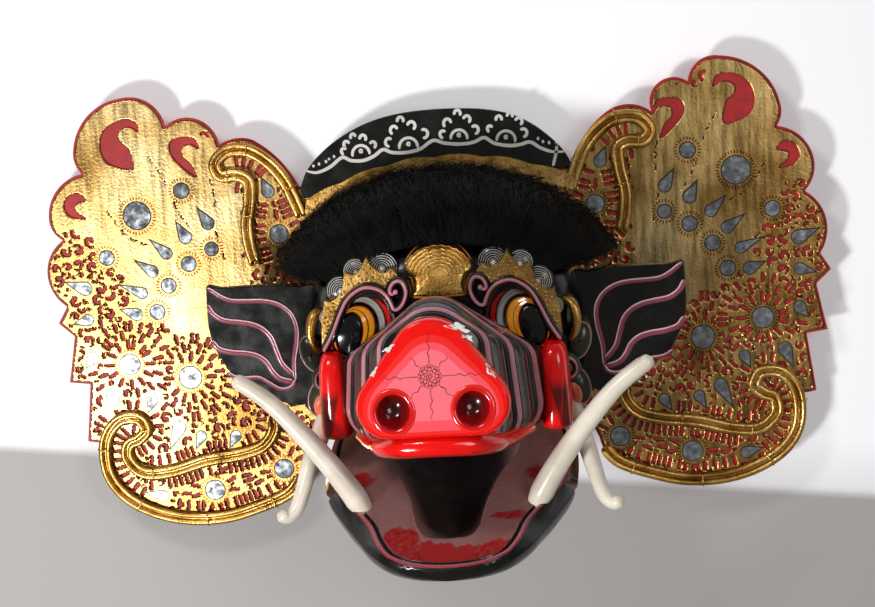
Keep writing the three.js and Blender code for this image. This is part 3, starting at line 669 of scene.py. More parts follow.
class Sheet:
    """A pierced sheet as a grid of distances to its nearest edge."""

    def __init__(self, low, high, cell):
        self.low, self.cell = np.array(low, dtype=float), cell
        self.size = np.ceil((np.array(high) - self.low) / cell).astype(int) + 1
        x, y = np.meshgrid(np.arange(self.size[0]), np.arange(self.size[1]), indexing="ij")
        self.grid = np.stack([self.low[0] + x * cell, self.low[1] + y * cell], axis=-1)
        self.field = np.full(tuple(self.size), 1e3)

    def flat(self):
        return self.grid.reshape(-1, 2)

    def limit(self, distance):
        self.field = np.minimum(self.field, distance.reshape(self.field.shape))

    def sample(self, points):
        index = np.rint((np.asarray(points) - self.low) / self.cell).astype(int)
        index = np.clip(index, 0, self.size - 1)
        return self.field[index[:, 0], index[:, 1]]

    def pierce(self, centres, radii, bar):
        """Cuts a hole made of a chain of circles if it keeps a bar to all others."""
        centres, radii = np.asarray(centres, dtype=float), np.asarray(radii, dtype=float)
        if np.any(self.sample(centres) < radii + bar):
            return False
        reach = radii.max() + 6.0
        lo = np.clip(np.floor((centres.min(axis=0) - reach - self.low) / self.cell).astype(int), 0,
                     self.size)
        hi = np.clip(np.ceil((centres.max(axis=0) + reach - self.low) / self.cell).astype(int), 0,
                     self.size)
        window = self.grid[lo[0]:hi[0], lo[1]:hi[1]]
        away = np.linalg.norm(window[:, :, None] - centres, axis=-1) - radii
        part = self.field[lo[0]:hi[0], lo[1]:hi[1]]
        np.minimum(part, away.min(axis=-1), out=part)
        return True

    def mesh(self, low, high):
        """Top face with its walls; corners near an edge are moved onto it."""
        field = self.field
        slope = np.stack(np.gradient(field, self.cell), axis=-1)
        steep = np.maximum((slope ** 2).sum(axis=-1), 0.25)
        near = np.abs(field) < 0.8 * self.cell
        moved = self.grid - np.where(near[..., None], field[..., None] * slope / steep[..., None], 0.0)
        centre = (field[:-1, :-1] + field[1:, :-1] + field[1:, 1:] + field[:-1, 1:]) / 4
        kept = centre > 0
        rows, columns = field.shape
        index = np.arange(rows * columns).reshape(rows, columns)
        corners = [index[:-1, :-1], index[1:, :-1], index[1:, 1:], index[:-1, 1:]]
        top = np.stack([corner[kept] for corner in corners], axis=1)
        padded = np.pad(kept, 1)
        walls = []
        sides = [((0, -1), 0, 1), ((1, 0), 1, 2), ((0, 1), 2, 3), ((-1, 0), 3, 0)]
        for (dx, dy), first, second in sides:
            beside = padded[1 + dx:padded.shape[0] - 1 + dx, 1 + dy:padded.shape[1] - 1 + dy]
            edge = kept & ~beside
            walls.append(np.c_[corners[first][edge], corners[second][edge]])
        walls = np.concatenate(walls)
        used = np.unique(top)
        number = np.full(rows * columns, -1)
        number[used] = np.arange(len(used))
        flat = moved.reshape(-1, 2)[used]
        rim = np.unique(walls)
        below = np.full(rows * columns, -1)
        below[rim] = len(used) + np.arange(len(rim))
        under = moved.reshape(-1, 2)[rim]
        points = np.concatenate([level(flat, high), level(under, low)])
        a, b = walls[:, 0], walls[:, 1]
        quads = np.concatenate([number[top], np.c_[number[b], number[a], below[a], below[b]]])
        return points, quads


def curl_hole(centre, turn, size, hand):
    """A comma: a round head and a tail that bends round it."""
    t = np.linspace(0, 1, 9)
    angle = turn + hand * t * 4.3
    reach = size * (0.30 + 0.62 * t)
    path = around(centre, reach, angle)
    return path, size * (0.40 - 0.23 * t)


def slot_hole(centre, turn, length, width, bend=0.0):
    t = np.linspace(-0.5, 0.5, 5)
    angle = turn + bend * t
    step = np.stack([np.cos(angle), np.sin(angle)], axis=1) * t[:, None] * length
    return np.asarray(centre) + step, np.full(5, width / 2)


# Slots of the ladders, and the rounds of curls that fill the rest: tries, size, bar between holes
SLOT_WIDTH, SLOT_LENGTH, SLOT_BAR = 3.3, 6.6, 1.0
CURL_ROUNDS = [(3000, 5.8, 0.9), (6000, 4.6, 0.8), (8000, 3.4, 0.8), (8000, 2.5, 0.8)]


def in_band(sheet, allowed, centres, turns, length, width, bar, bend=0.0):
    for centre, turn in zip(centres, turns):
        if allowed(centre):
            sheet.pierce(*slot_hole(centre, turn, length, width, bend), bar)


def ladder_round(sheet, allowed, centre, radius, width=SLOT_WIDTH, length=SLOT_LENGTH, bar=SLOT_BAR):
    count = max(int(2 * math.pi * radius / (width + bar + 0.4)), 6)
    angle = full_turn(count)
    centres = around(centre, radius, angle)
    in_band(sheet, allowed, centres, angle, length, width, bar)


def ladder_along(sheet, allowed, line, offset, width=SLOT_WIDTH, length=SLOT_LENGTH, bar=SLOT_BAR):
    lengths = np.linalg.norm(np.diff(line, axis=0), axis=1).sum()
    count = int(lengths / (width + bar + 0.5))
    path = smooth_path(line, count)
    along = unit(np.gradient(path, axis=0))
    across = np.c_[-along[:, 1], along[:, 0]]
    in_band(sheet, allowed, path + across * offset, np.arctan2(across[:, 1], across[:, 0]), length, width,
            bar)


def fill_with_curls(sheet, allowed, low, high, rounds):
    for count, size, bar in rounds:
        spots = low + rng.random((count, 2)) * (high - low)
        turns = rng.random(count) * 2 * math.pi
        for spot, turn, pick in zip(spots, turns, rng.random(count)):
            if not allowed(spot):
                continue
            if pick < 0.62:
                hand = 1 if pick < 0.31 else -1
                sheet.pierce(*curl_hole(spot, turn, size, hand), bar)
            else:
                sheet.pierce(*slot_hole(spot, turn, size * 1.5, size * 0.60, 1.2), bar)


# Punched strokes round the mirrors, and the rods' distance from their middle and wrappings
PUNCH_SPACING = 2.6
ROD_OFFSET = 3.2
WRAP_STEP = 34

# Upper fan of plain gold on the left wing; what lies outside it is pierced
FAN = [(-182, 150), (-200, 158), (-214, 181), (-243, 178.5), (-256, 200.5), (-278, 206), (-311, 192.5),
       (-327, 162), (-321.4, 141), (-350, 122), (-357, 92), (-333, 88), (-318, 80), (-310, 58), (-292, 46),
       (-284, 22), (-262, -2), (-238, -12), (-214, -14), (-190, -10), (-178, 16), (-176, 40), (-180, 70),
       (-178, 104), (-186, 130)]

# Chains of dashes that part the fan's lobes
FAN_CHAINS = [
    [(-258, 150), (-248, 132), (-238, 104), (-226, 84)],
    [(-300, 104), (-286, 84), (-268, 74), (-246, 68)],
    [(-318, 84), (-300, 48), (-280, 36), (-262, 30)],
    [(-206, 128), (-204, 108), (-206, 88), (-200, 60)],
]


def left_drops():
    made = []
    for tip_x, tip_y, body_x, body_y, radius in DROPS:
        tip = lifted(tip_x, tip_y, GILT_TOP)[:2]
        body = lifted(body_x, body_y, GILT_TOP)[:2]
        made.append((tip, body, radius * 0.87))
    return made


def drop_outline(tip, body, radius, count=28):
    away = tip - body
    length = np.linalg.norm(away)
    direction = math.atan2(away[1], away[0])
    open_half = math.acos(min(radius / length, 1.0))
    angle = np.linspace(direction + open_half, direction + 2 * math.pi - open_half, count)
    ring = around(body, radius, angle)
    return np.concatenate([ring, tip[None]])


def round_outline(centre, radius, count=36):
    angle = full_turn(count)
    return around(centre, radius, angle)


def swollen(outline, growth):
    middle = outline.mean(axis=0)
    return middle + (outline - middle) * (1 + growth / np.linalg.norm(outline - middle, axis=1).mean())


def fan_of_discs(bundle, outline, z, color=None):
    """A flat patch as a fan round its middle."""
    count = len(outline)
    points = np.concatenate([np.c_[outline, np.full(count, z)], [[*outline.mean(axis=0), z]]])
    j = np.arange(count)
    bundle.add(points, triangles=np.c_[j, (j + 1) % count, np.full(count, count)], color=color)


def punch_ring(marks, centre, radius):
    """Short punched strokes round a mirror."""
    count = int(2 * math.pi * (radius + 3.6) / PUNCH_SPACING)
    for k in range(count):
        angle = 2 * math.pi * k / count
        direction = np.array([math.cos(angle), math.sin(angle)])
        across = np.array([-direction[1], direction[0]])
        near, far = centre + direction * (radius + 2.4), centre + direction * (radius + 5.2)
        corners = [near - across * 0.5, near + across * 0.5, far + across * 0.75, far - across * 0.75]
        marks.add(level(corners, GILT_TOP + 0.06), quads=[[0, 3, 2, 1]], color=(0.42, 0.20, 0.05))


def make_rods(name, line, count, put):
    """Two gilded rods side by side, a cord between them and wrappings across."""
    rods = Bundle()
    path = smooth_path(line, count)
    along = unit(np.gradient(path, axis=0))
    across = np.c_[-along[:, 1], along[:, 0]]
    ends = rounded_ends(count, 0.02)
    for offset in (-ROD_OFFSET, ROD_OFFSET):
        raised = level(path + across * offset, GILT_TOP + 3.4)
        rods.add(*tube(put(raised), 2.8 * ends, 3.0 * ends, 10))
    raised = level(path, GILT_TOP + 1.5)
    rods.add(*tube(put(raised), 3.0, 1.6, 6), color=(0.9, 0.55, 0.3))
    share = np.linspace(-1, 1, 13)
    height = GILT_TOP + 0.6 + 6.0 * np.sqrt(np.clip(1 - share ** 4, 0, 1))
    for k in range(18, count - 6, WRAP_STEP):
        wrap = np.stack([path[k] + across[k] * 7.0 * t for t in share])
        rods.add(*tube(put(np.c_[wrap, height]), 0.7, 0.7, 6, up=(0.0, 1.0, 0.3)), color=(0.25, 0.12, 0.05))
    return rods.make(name, GILT, slot="gilded_rattan")


def make_wing(side, lobes, place, lean):
    cell = 1.0
    turned = side == "right"

    def put(points):
        return mirrored_points(points) if turned else np.asarray(points)

    def hand(faces):
        return flipped(faces) if turned else faces

    curls = [np.array([(p[0] + lean, p[1]) for p in map(place, smooth_path(c, 60, closed=True))])
             for c in (MAIN_CURL, SECOND_CURL, OUTER_CURL)]
    outline = wing_outline(lobes, place, 2.5)
    edge = wing_outline(lobes, place, 0)
    low, high = edge.min(axis=0) + GILT_INSET - 2, edge.max(axis=0) - GILT_INSET + 2
    high[0] = min(high[0], -96)
    sheet = Sheet(low, high, cell)
    spots = sheet.flat()
    sheet.limit(signed_distance(spots, outline) - GILT_INSET)
    for curl in curls:
        sheet.limit(-signed_distance(spots, curl))
    rounds = [(np.array(place((x, y))), r) for x, y, r in ROUND_MIRRORS]
    drops = [(np.array(place(tip)), np.array(place(body)), r) for tip, body, r in left_drops()]
    metal = sheet.field.copy()
    for centre, radius in rounds:
        sheet.limit(np.linalg.norm(spots - centre, axis=1) - radius - 2.2)
    for tip, body, radius in drops:
        sheet.limit(line_distance(spots, drop_outline(tip, body, radius + 1.5, 10)) - 0.5)
        sheet.limit(np.linalg.norm(spots - body, axis=1) - radius - 1.5)
    guide = sheet.field.copy()
    fan = np.array([place(p) for p in smooth_path(FAN, 90, closed=True)])
    in_fan = inside(spots, fan).reshape(sheet.field.shape)

    def pierced_area(point):
        index = np.rint((np.asarray(point) - sheet.low) / cell).astype(int)
        if np.any(index < 0) or np.any(index >= sheet.size):
            return False
        return not in_fan[index[0], index[1]]

    def anywhere(point):
        return True

    leaf, scroll = [np.array([place(p) for p in line]) for line in (LEAF_ROD, SCROLL)]
    for line in (leaf, scroll):
        for offset in (-11.5, 11.5):
            ladder_along(sheet, pierced_area, line, offset)
    for centre, radius in rounds:
        if radius > 6.6:
            for turn in range(3):
                ladder_round(sheet, pierced_area, centre, radius + 9.5 + 8.5 * turn)
    fill_with_curls(sheet, pierced_area, low, high, CURL_ROUNDS)
    for chain in FAN_CHAINS:
        path = smooth_path([place(p) for p in chain], 14)
        along = unit(np.gradient(path, axis=0))
        in_band(sheet, anywhere, path, np.arctan2(along[:, 1], along[:, 0]), 6.5, 1.5, 0.8, 0.5)
    sheet.field = np.where(guide < 0, metal, sheet.field)
    points, quads = sheet.mesh(GILT_TOP - GILT_THICKNESS, GILT_TOP)
    fan_share = np.clip(signed_distance(points[:, :2], fan) / 6 + 0.5, 0, 1)[:, None]
    tint = fan_share * np.array([1.0, 1.0, 1.0]) + (1 - fan_share) * np.array([0.92, 0.84, 0.70])
    gilt = piece(f"wing_{side}_gilt_sheet", put(points), hand([quads]), LEAF, slot="gilded_hide",
                 colors=tint)
    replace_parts(gilt, f"wing_gilt_{side}")

    board_points, board_faces = slab(wing_outline(lobes, place, 1.6), WING_FOOT, WING_FOOT + HIDE_THICKNESS)
    hide = piece(f"wing_{side}_hide", put(board_points), hand(board_faces), HIDE, slot="red_hide",
                 smooth=False)
    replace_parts(hide, f"wing_panel_{side}")

    glass, rims, marks = Bundle(), Bundle(), Bundle()
    for shape in [round_outline(c, r) for c, r in rounds] + [drop_outline(*drop) for drop in drops]:
        fan_of_discs(rims, swollen(shape, 1.1), GILT_TOP + 0.10, (0.05, 0.03, 0.015))
        fan_of_discs(glass, shape, GILT_TOP + 0.25)
    for centre, radius in rounds:
        punch_ring(marks, centre, radius)
    for bundle, name, material in ((rims, "mirror_rims", LACQUER), (glass, "mirrors", MIRROR),
                                   (marks, "punch_marks", LEAF)):
        bundle.points = [put(p) for p in bundle.points]
        if turned:
            bundle.triangles = [t[:, ::-1] for t in bundle.triangles]
            bundle.quads = [q[:, ::-1] for q in bundle.quads]
        bundle.make(f"wing_{side}_{name}", material, slot="gilded_hide", smooth=False)

    for name, line, count in (("leaf", leaf, 150), ("scroll", scroll, 260)):
        made = make_rods(f"wing_{side}_{name}_rods", line, count, put)
        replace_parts(made, f"wing_{name}_edging_{side}")


# Solid shapes

def evenly(line, count):
    line = np.asarray(line, dtype=float)
    lengths = np.concatenate([[0], np.cumsum(np.linalg.norm(np.diff(line, axis=0), axis=1))])
    wanted = np.linspace(0, lengths[-1], count)
    return np.stack([np.interp(wanted, lengths, line[:, k]) for k in range(line.shape[1])], axis=1)


def turned_outward(points, faces):
    volume = 0.0
    for group in faces:
        first = points[group[:, 0]]
        for k in range(1, group.shape[1] - 1):
            volume += np.einsum("ij,ij->", first, np.cross(points[group[:, k]], points[group[:, k + 1]]))
    return faces if volume > 0 else flipped(faces)


def lofted(rows):
    """Closed shape through rings of equal count, capped at both ends."""
    rows = np.asarray(rows, dtype=float)
    count, columns = rows.shape[:2]
    points = rows.reshape(-1, 3)
    faces = [grid_faces(count, columns, wrap=True), np.arange(columns)[::-1][None],
             ((count - 1) * columns + np.arange(columns))[None]]
    return points, turned_outward(points, faces)


def boxed(x0, x1, y0, y1, z0, z1):
    square = [(x0, y0), (x1, y0), (x1, y1), (x0, y1)]
    return lofted([[(x, y, z) for x, y in square] for z in (z0, z1)])


def across_rod(x0, x1, y, z, radius, count=32):
    angle = full_turn(count)
    rim = np.stack([y + radius * np.cos(angle), z + radius * np.sin(angle)], axis=1)
    return lofted([np.c_[np.full(count, x), rim] for x in (x0, x1)])


def power(value, exponent):
    return np.sign(value) * np.abs(value) ** exponent


def ring(z, half_width, top, bottom, count=120, upper=0.84, lower=0.62):
    angle = full_turn(count)
    high = np.sin(angle) > 0
    bend = np.where(high, upper, lower)
    height = np.where(high, top, -bottom)
    return np.c_[half_width * power(np.cos(angle), bend), height * power(np.sin(angle), bend),
                 np.full(count, z)]


def block(shape, slot_number=0):
    """A mesh to join or cut with; number 0 is lacquer and 1 bare wood."""
    points, faces = shape
    numbers = np.full(sum(len(group) for group in faces), slot_number)
    mesh = new_mesh("block", points, faces, [LACQUER, BARE_WOOD], slots=numbers)
    made = bpy.data.objects.new("block", mesh)
    bpy.context.scene.collection.objects.link(made)
    return made


def carved(base, steps):
    """Joins base with the other meshes or cuts them out of it, and uses them up."""
    for other, operation in steps:
        modifier = base.modifiers.new("carve", "BOOLEAN")
        modifier.object = other
        modifier.operation = operation
        modifier.solver = "MANIFOLD"
    bpy.context.view_layer.update()
    mesh = bpy.data.meshes.new_from_object(base.evaluated_get(bpy.context.evaluated_depsgraph_get()))
    for spent in [base] + [other for other, _ in steps]:
        bpy.data.objects.remove(spent)
    return mesh


def from_mesh(name, mesh, body="root", crease=35):
    mesh.name = name
    mesh.polygons.foreach_set("use_smooth", np.ones(len(mesh.polygons), bool))
    mesh.set_sharp_from_angle(angle=math.radians(crease))
    return show(name, mesh, body)


# Head shell, hollow behind

SKULL_RINGS = [(20, 118, 122, -104), (50, 121, 119, -103), (80, 121, 112, -101), (105, 117, 101, -96),
               (125, 110, 88, -88), (140, 98, 74, -76), (150, 80, 60, -60), (154, 50, 40, -40)]
WALL = 12.0
MOUTH_RINGS = [(50, 60, 0), (120, 60, -6), (180, 56, -14), (230, 46, -28), (264, 34, -44)]
BOSS = (79, 112, -97, -53, 45, 91)
PIN_RADIUS = 3.3


def both_sides(x0, x1, *rest):
    return [boxed(x0, x1, *rest), boxed(-x1, -x0, *rest)]


def make_shell():
    rings = smooth_path(SKULL_RINGS, 44)
    skull = [ring(*row) for row in rings]
    collar = [ring(z, 134 + grow, 148 + grow, -114 - grow)
              for z, grow in ((0, -1.2), (1.2, 0), (22, 0), (24, -2))]
    hollow = [ring(z - WALL * (z / 154) ** 4, w - WALL, top - WALL, low + WALL) for z, w, top, low in rings]
    hollow[0][:, 2] = -1
    mouth = []
    for z, half, top in smooth_path(MOUTH_RINGS, 24):
        mouth.append(ring(z, half, 24, -60, 72, 0.8, 0.4) + np.array([0, top - 24, 0]))
    bosses = []
    for shape in both_sides(*BOSS):
        mesh = carved(block(shape, 1), [(block(lofted(skull), 1), "INTERSECT")])
        made = bpy.data.objects.new("boss", mesh)
        bpy.context.scene.collection.objects.link(made)
        bosses.append((made, "UNION"))
    cuts = [block(lofted(mouth)), block(boxed(-79, 79, -135, -57, 45, 100), 1),
            block(boxed(-120, 120, -135, -70, 93, 156), 1)]
    cuts += [block(across_rod(x0, x1, -75, 70, PIN_RADIUS), 1) for x0, x1 in ((40, 125), (-125, -40))]
    steps = [(block(lofted(collar)), "UNION"), (block(lofted(hollow), 1), "DIFFERENCE")] + bosses
    shell = carved(block(lofted(skull)), steps + [(cut, "DIFFERENCE") for cut in cuts])
    return from_mesh("head_shell", shell)


# Snout

def hull_line(lobes, count, start=-90.0, stop=270.0):
    """Outer line round circles given as x, y and radius."""
    angle = np.radians(np.linspace(start, stop, 1200))
    direction = np.stack([np.cos(angle), np.sin(angle)], axis=1)
    best = (direction @ lobes[:, :2].T + lobes[:, 2]).argmax(axis=1)
    return evenly(lobes[best, :2] + lobes[best, 2:3] * direction, count)


def snout_lobes(share, swell):
    crest = min(33 + 21 * share, 60 - 18 * share)
    side = 70 - 50 * share
    lobes = [(0, crest - 30, 30 + swell)]
    for x in (side, -side):
        lobes += [(x, 40 * share - 26, 18 + swell), (0.9 * x, -50, 23 + 0.07 * side + swell)]
    return np.array(lobes)


# Painted bands of one fold from its back groove: start, end, first and last colour, rows; the charcoal and
# grey band across the fold's body is a painted highlight, and the pink band's darkening towards the groove
# is painted shade
FOLD_BANDS = [(0.0, 0.05, BLACK, BLACK, 3), (0.05, 0.11, GREY, PINK, 3), (0.11, 0.36, BLACK, CHARCOAL, 8),
              (0.36, 0.42, (0.10, 0.10, 0.09), CHARCOAL, 3), (0.42, 0.72, CHARCOAL, BLACK, 9),
              (0.72, 0.88, PINK, (0.34, 0.12, 0.14), 7), (0.88, 1.0, BLACK, BLACK, 4)]
MOUTH_DARK = (0.05, 0.006, 0.005)

# How high each fold may rise beside the arch, by its distance from the middle
FOLD_TOPS = [(0, 7.4), (17.5, 4.9), (27, -0.1), (34, -7.1), (40, -14.6), (47, -17), (53, -21), (59, -24.4),
             (66, -27.9), (73, -29.9), (79, -33.7), (83, -38.5), (100, -60)]
FOLD_RISE = 0.176


def snout_row(share, swell):
    z = 152 + 110 * share
    outer = hull_line(snout_lobes(share, swell), 1200)
    tops = smooth_path(FOLD_TOPS, 200)
    cap = np.interp(np.abs(outer[:, 0]), tops[:, 0], tops[:, 1]) + FOLD_RISE * z + 0.8 * (swell + 2.6)
    outer[:, 1] = np.where(outer[:, 1] > -20, np.minimum(outer[:, 1], cap), outer[:, 1])
    foot = np.interp(z, [136, 177, 215, 240, 262], [-72, -71, -67, -64, -58])
    outer = evenly(outer[outer[:, 1] > foot], 190)
    half, top = [np.interp(z, [r[0] for r in MOUTH_RINGS], [r[k] for r in MOUTH_RINGS]) for k in (1, 2)]
    angle = np.linspace(math.pi, 0, 60)
    roof = np.stack([half * power(np.cos(angle), 0.8), top - 24 + 24 * power(np.sin(angle), 0.8)], axis=1)
    inner = evenly(np.concatenate([[(-half, foot)], roof, [(half, foot)]]), 60)
    both = np.concatenate([outer, inner])
    return level(both, z)


def make_snout():
    rows, colors = [], []

    def add(share, swell, color):
        rows.append(snout_row(share, swell))
        shade = np.tile(np.asarray(color, dtype=float), (250, 1))
        shade[190:] = MOUTH_DARK
        colors.append(shade)

    for share in np.linspace(-0.145, 0, 4):
        add(share, -2.6, BLACK)
    for fold in range(3):
        for start, end, first, last, count in FOLD_BANDS:
            for place in np.linspace(start, end, count):
                blend = (place - start) / (end - start)
                swell = 4.2 * max(math.sin(math.pi * place), 0.0) ** 0.6 - 2.6
                add((fold + place) / 3, swell, np.array(first) * (1 - blend) + np.array(last) * blend)
    points, faces = lofted(rows)
    piece("snout", points, faces, LACQUER, slot="black_lacquer", colors=np.concatenate(colors))


# Nose

NOSE_LOBES = np.array([(0, 10, 31), (34, -24, 24.5), (-34, -24, 24.5)], dtype=float)
NOSE_SIDE = [(256, 0.76), (262, 0.86), (268, 0.93), (275, 0.975), (282, 1.0), (287, 0.995), (290, 0.975),
             (291.6, 0.945)]
NOSE_LEAN = 0.14
NOSE_FACE = 291.6
NOSTRIL = (30.0, -27.0)
CORAL = (0.84, 0.022, 0.020)


def nose_share(points):
    """How far out a point lies, 0 in the middle and 1 on the outline."""
    angle = np.radians(np.arange(0, 360, 1.5))
    direction = np.stack([np.cos(angle), np.sin(angle)], axis=1)
    reach = (direction @ NOSE_LOBES[:, :2].T + NOSE_LOBES[:, 2]).max(axis=1)
    return (points @ direction.T / reach).max(axis=1)


def nose_height(points, share):
    return NOSE_FACE + 1.3 * (1 - (share / 0.945) ** 2) - NOSE_LEAN * (points[:, 1] + 27)


def nose_color(points, share):
    up = np.clip((points[:, 1] + 30) / 60, 0, 1)
    pink_edge = 0.875 - 0.34 * up
    coral_edge = pink_edge + 0.05 + 0.12 * up
    color = np.tile(np.array(BRIGHT_RED), (len(points), 1))
    color[share < coral_edge] = CORAL
    color[share < pink_edge] = NOSE_PINK
    color[share < pink_edge - 0.16] = (0.90, 0.16, 0.20)
    return color


def make_nose():
    columns = 200
    outline = hull_line(NOSE_LOBES, columns + 1, 90, 450)[:-1]
    rows, colors = [], []
    for z, scale in smooth_path(NOSE_SIDE, 26):
        flat = outline * scale
        rows.append(np.c_[flat, z - NOSE_LEAN * (flat[:, 1] + 27)])
        # the side darkens towards its back edge, painted shade where the nose meets the snout
        dark = np.clip((281 - z) / 14, 0, 1)
        colors.append(np.tile(np.array(BRIGHT_RED) * (1 - dark) + np.array(DARK_RED) * dark, (columns, 1)))
    for scale in np.linspace(0.945, 0.004, 92):
        flat = outline * scale
        share = np.full(columns, scale)
        height = nose_height(flat, share)
        for side in (1, -1):
            away = np.linalg.norm(flat - np.array([side * NOSTRIL[0], NOSTRIL[1]]), axis=1)
            height = height - 20 * np.clip((15.2 - away) / 3, 0, 1)
        rows.append(np.c_[flat, height])
        colors.append(nose_color(flat, share))
    points, faces = lofted(rows)
    piece("nose", points, faces, LACQUER_SMOOTH, slot="black_lacquer", colors=np.concatenate(colors))


# Rows of a nostril from its rim to its bottom: radius, height, colour; the red darkens to near black with
# depth, painted shade inside the hole over its dark red paint
NOSTRIL_ROWS = [(17.6, -0.8, BRIGHT_RED), (17.0, 0.1, BRIGHT_RED), (16.2, 0.7, (0.9, 0.03, 0.02)),
                (14.9, 1.1, RED), (13.6, 0.9, RED), (12.6, 0.2, (0.5, 0.006, 0.008)),
                (12.0, -1.2, (0.45, 0.006, 0.008)), (11.4, -4, (0.34, 0.004, 0.006)),
                (10.2, -8, (0.24, 0.004, 0.005)), (8, -11.5, (0.14, 0.003, 0.004)),
                (5, -13.6, (0.08, 0.003, 0.003)), (1.5, -14.6, (0.05, 0.003, 0.003)),
                (0.1, -14.7, (0.05, 0.003, 0.003))]


def make_nostrils():
    angle = full_turn(72)
    cups = Bundle()
    for side in (1, -1):
        rows, colors = [], []
        for radius, height, color in NOSTRIL_ROWS:
            x = side * NOSTRIL[0] + radius * np.cos(angle)
            y = NOSTRIL[1] + 1.06 * radius * np.sin(angle)
            flat = np.stack([x, y], axis=1)
            rows.append(np.c_[flat, nose_height(flat, nose_share(flat)) * 0.35 + 0.65 * (
                NOSE_FACE + 0.8 - NOSE_LEAN * (y + 27)) + height])
            colors.append(np.tile(color, (72, 1)))
        points = np.concatenate(rows)
        quads = grid_faces(len(rows), 72, wrap=True)
        cups.add(points, quads=quads, color=np.concatenate(colors))
    cups.make("nostrils", LACQUER_SMOOTH, slot="black_lacquer")


def ribbon(path, width, up=(0.0, 0.0, 1.0)):
    """A flat strip along a path of points, facing up."""
    path = np.asarray(path, dtype=float)
    _, side, _ = path_frames(path, up)
    half = np.broadcast_to(np.asarray(width, dtype=float) / 2, len(path))[:, None]
    points = np.concatenate([path - side * half, path + side * half])
    count = len(path)
    i = np.arange(count - 1)
    return points, np.c_[i, i + 1, count + i + 1, count + i][:, ::-1]


def on_nose(flat):
    flat = np.asarray(flat, dtype=float)
    return np.c_[flat, nose_height(flat, nose_share(flat)) + 0.22]


FLOWER = (-1.0, -1.5)


def make_flower():
    ink = Bundle()
    dark = (0.10, 0.012, 0.014)

    def draw(flat, width):
        points, quads = ribbon(on_nose(np.asarray(flat) + np.array(FLOWER)), width)
        ink.add(points, quads=quads, color=dark)

    def circle(centre, radius, width=0.5, span=2 * math.pi):
        angle = np.linspace(0, span, 18)
        draw(around(centre, radius, angle), width)

    turn = np.linspace(0, 3.6 * math.pi, 40)
    draw(np.stack([(0.4 + turn * 0.22) * np.cos(turn), (0.4 + turn * 0.22) * np.sin(turn)], axis=1), 0.55)
    arms = {0: (20, 41), 1: (11, 20), 2: (15, 34), 3: (11, 20), 4: (20, 37), 5: (12, 24), 6: (16, 33),
            7: (12, 24)}
    for k, (dots, reach) in arms.items():
        angle = k * math.pi / 4
        forward = np.array([math.cos(angle), math.sin(angle)])
        sideways = np.array([-forward[1], forward[0]])
        circle(forward * 5.2, 1.5)
        for hand in (1, -1):
            circle(forward * 7.6 + sideways * hand * 1.6, 0.9, 0.4)
        for step in np.arange(9.5, dots, 1.8):
            circle(forward * step, 0.35 * (1 - step / 60), 0.45)
        t = np.linspace(dots, reach, 26)
        wave = 0.9 * np.sin((t - dots) * 0.75)
        draw(forward * t[:, None] + sideways * wave[:, None], np.linspace(0.55, 0.2, 26))
    ink.make("nose_flower", LACQUER, slot="black_lacquer", smooth=False)


# Painted white highlights on the rim of the nose, as centre and size
NOSE_GLINTS = [(22, 33, 8, 2.4), (29, 25, 4, 1.6), (-31, 20, 4.5, 1.5), (-43, 3, 4, 1.2), (44, 0, 5, 1.6)]


def make_nose_glints():
    glints = Bundle()
    for x, y, length, width in NOSE_GLINTS:
        angle = full_turn(26)
        rough = 1 + 0.35 * np.sin(3 * angle + x) + 0.2 * np.sin(7 * angle + y)
        lean = math.atan2(-x * 0.9, max(y + 25, 6))
        flat = np.stack([length * rough * np.cos(angle), width * rough * np.sin(angle)], axis=1)
        turned = np.stack([flat[:, 0] * math.cos(lean) - flat[:, 1] * math.sin(lean),
                           flat[:, 0] * math.sin(lean) + flat[:, 1] * math.cos(lean)],
                           axis=1) + np.array([x, y])
        share = np.minimum(nose_share(turned), 0.985)
        low = np.interp(share, [0.945, 0.975, 0.995], [NOSE_FACE, 290, 287])
        height = np.where(share < 0.945, nose_height(turned, share), low - NOSE_LEAN * (turned[:, 1] + 27))
        points = np.concatenate([np.c_[turned, height + 0.3], [[x, y, height.mean() + 0.5]]])
        j = np.arange(26)
        # each spot is a painted white highlight on the nose's rim
        glints.add(points, triangles=np.c_[j, (j + 1) % 26, np.full(26, 26)], color=WHITE)
    glints.make("nose_glints", LACQUER, slot="black_lacquer")


# Lip and red flaps

LIP = [(69, -71.5, 177, 7, 5.5), (64, -70.5, 191, 7.5, 6), (57, -68.5, 215, 8, 6.5),
       (49, -65.5, 240, 8, 7.2), (42, -61.5, 262, 8, 8), (30, -58.5, 277, 8, 8.4), (15, -57, 282.5, 8, 8.6),
       (0, -56.5, 284, 8, 8.6)]


def make_lip():
    right = np.array(LIP)
    whole = np.concatenate([right, right[-2::-1] * np.array([-1, 1, 1, 1, 1])])
    path = smooth_path(whole, 200)
    ends = rounded_ends(200, 0.03)
    points, quads, caps = tube(path[:, :3], path[:, 3] * ends, path[:, 4] * ends, 32, up=(0.0, 1.0, 0.0))
    faces = turned_outward(points, [quads, caps])
    rear = np.clip((225 - points[:, 2]) / 30, 0, 1)[:, None]
    color = np.array(BRIGHT_RED) * (1 - rear) + np.array(SALMON) * rear
    # the underside of the lip is darkened as painted shade
    under = (points[:, 1] < np.interp(points[:, 2], [177, 284], [-75, -62.5]))[:, None]
    color = np.where(under, color * 0.55, color)
    piece("lip", points, faces, LACQUER_SMOOTH, slot="black_lacquer", colors=color)


FLAP_LEVELS = [(-78, 0.30), (-77, 0.62), (-75, 0.86), (-70, 0.95), (-45, 1.0), (-25, 0.99), (-14, 0.9),
               (-7, 0.68), (-4, 0.35)]


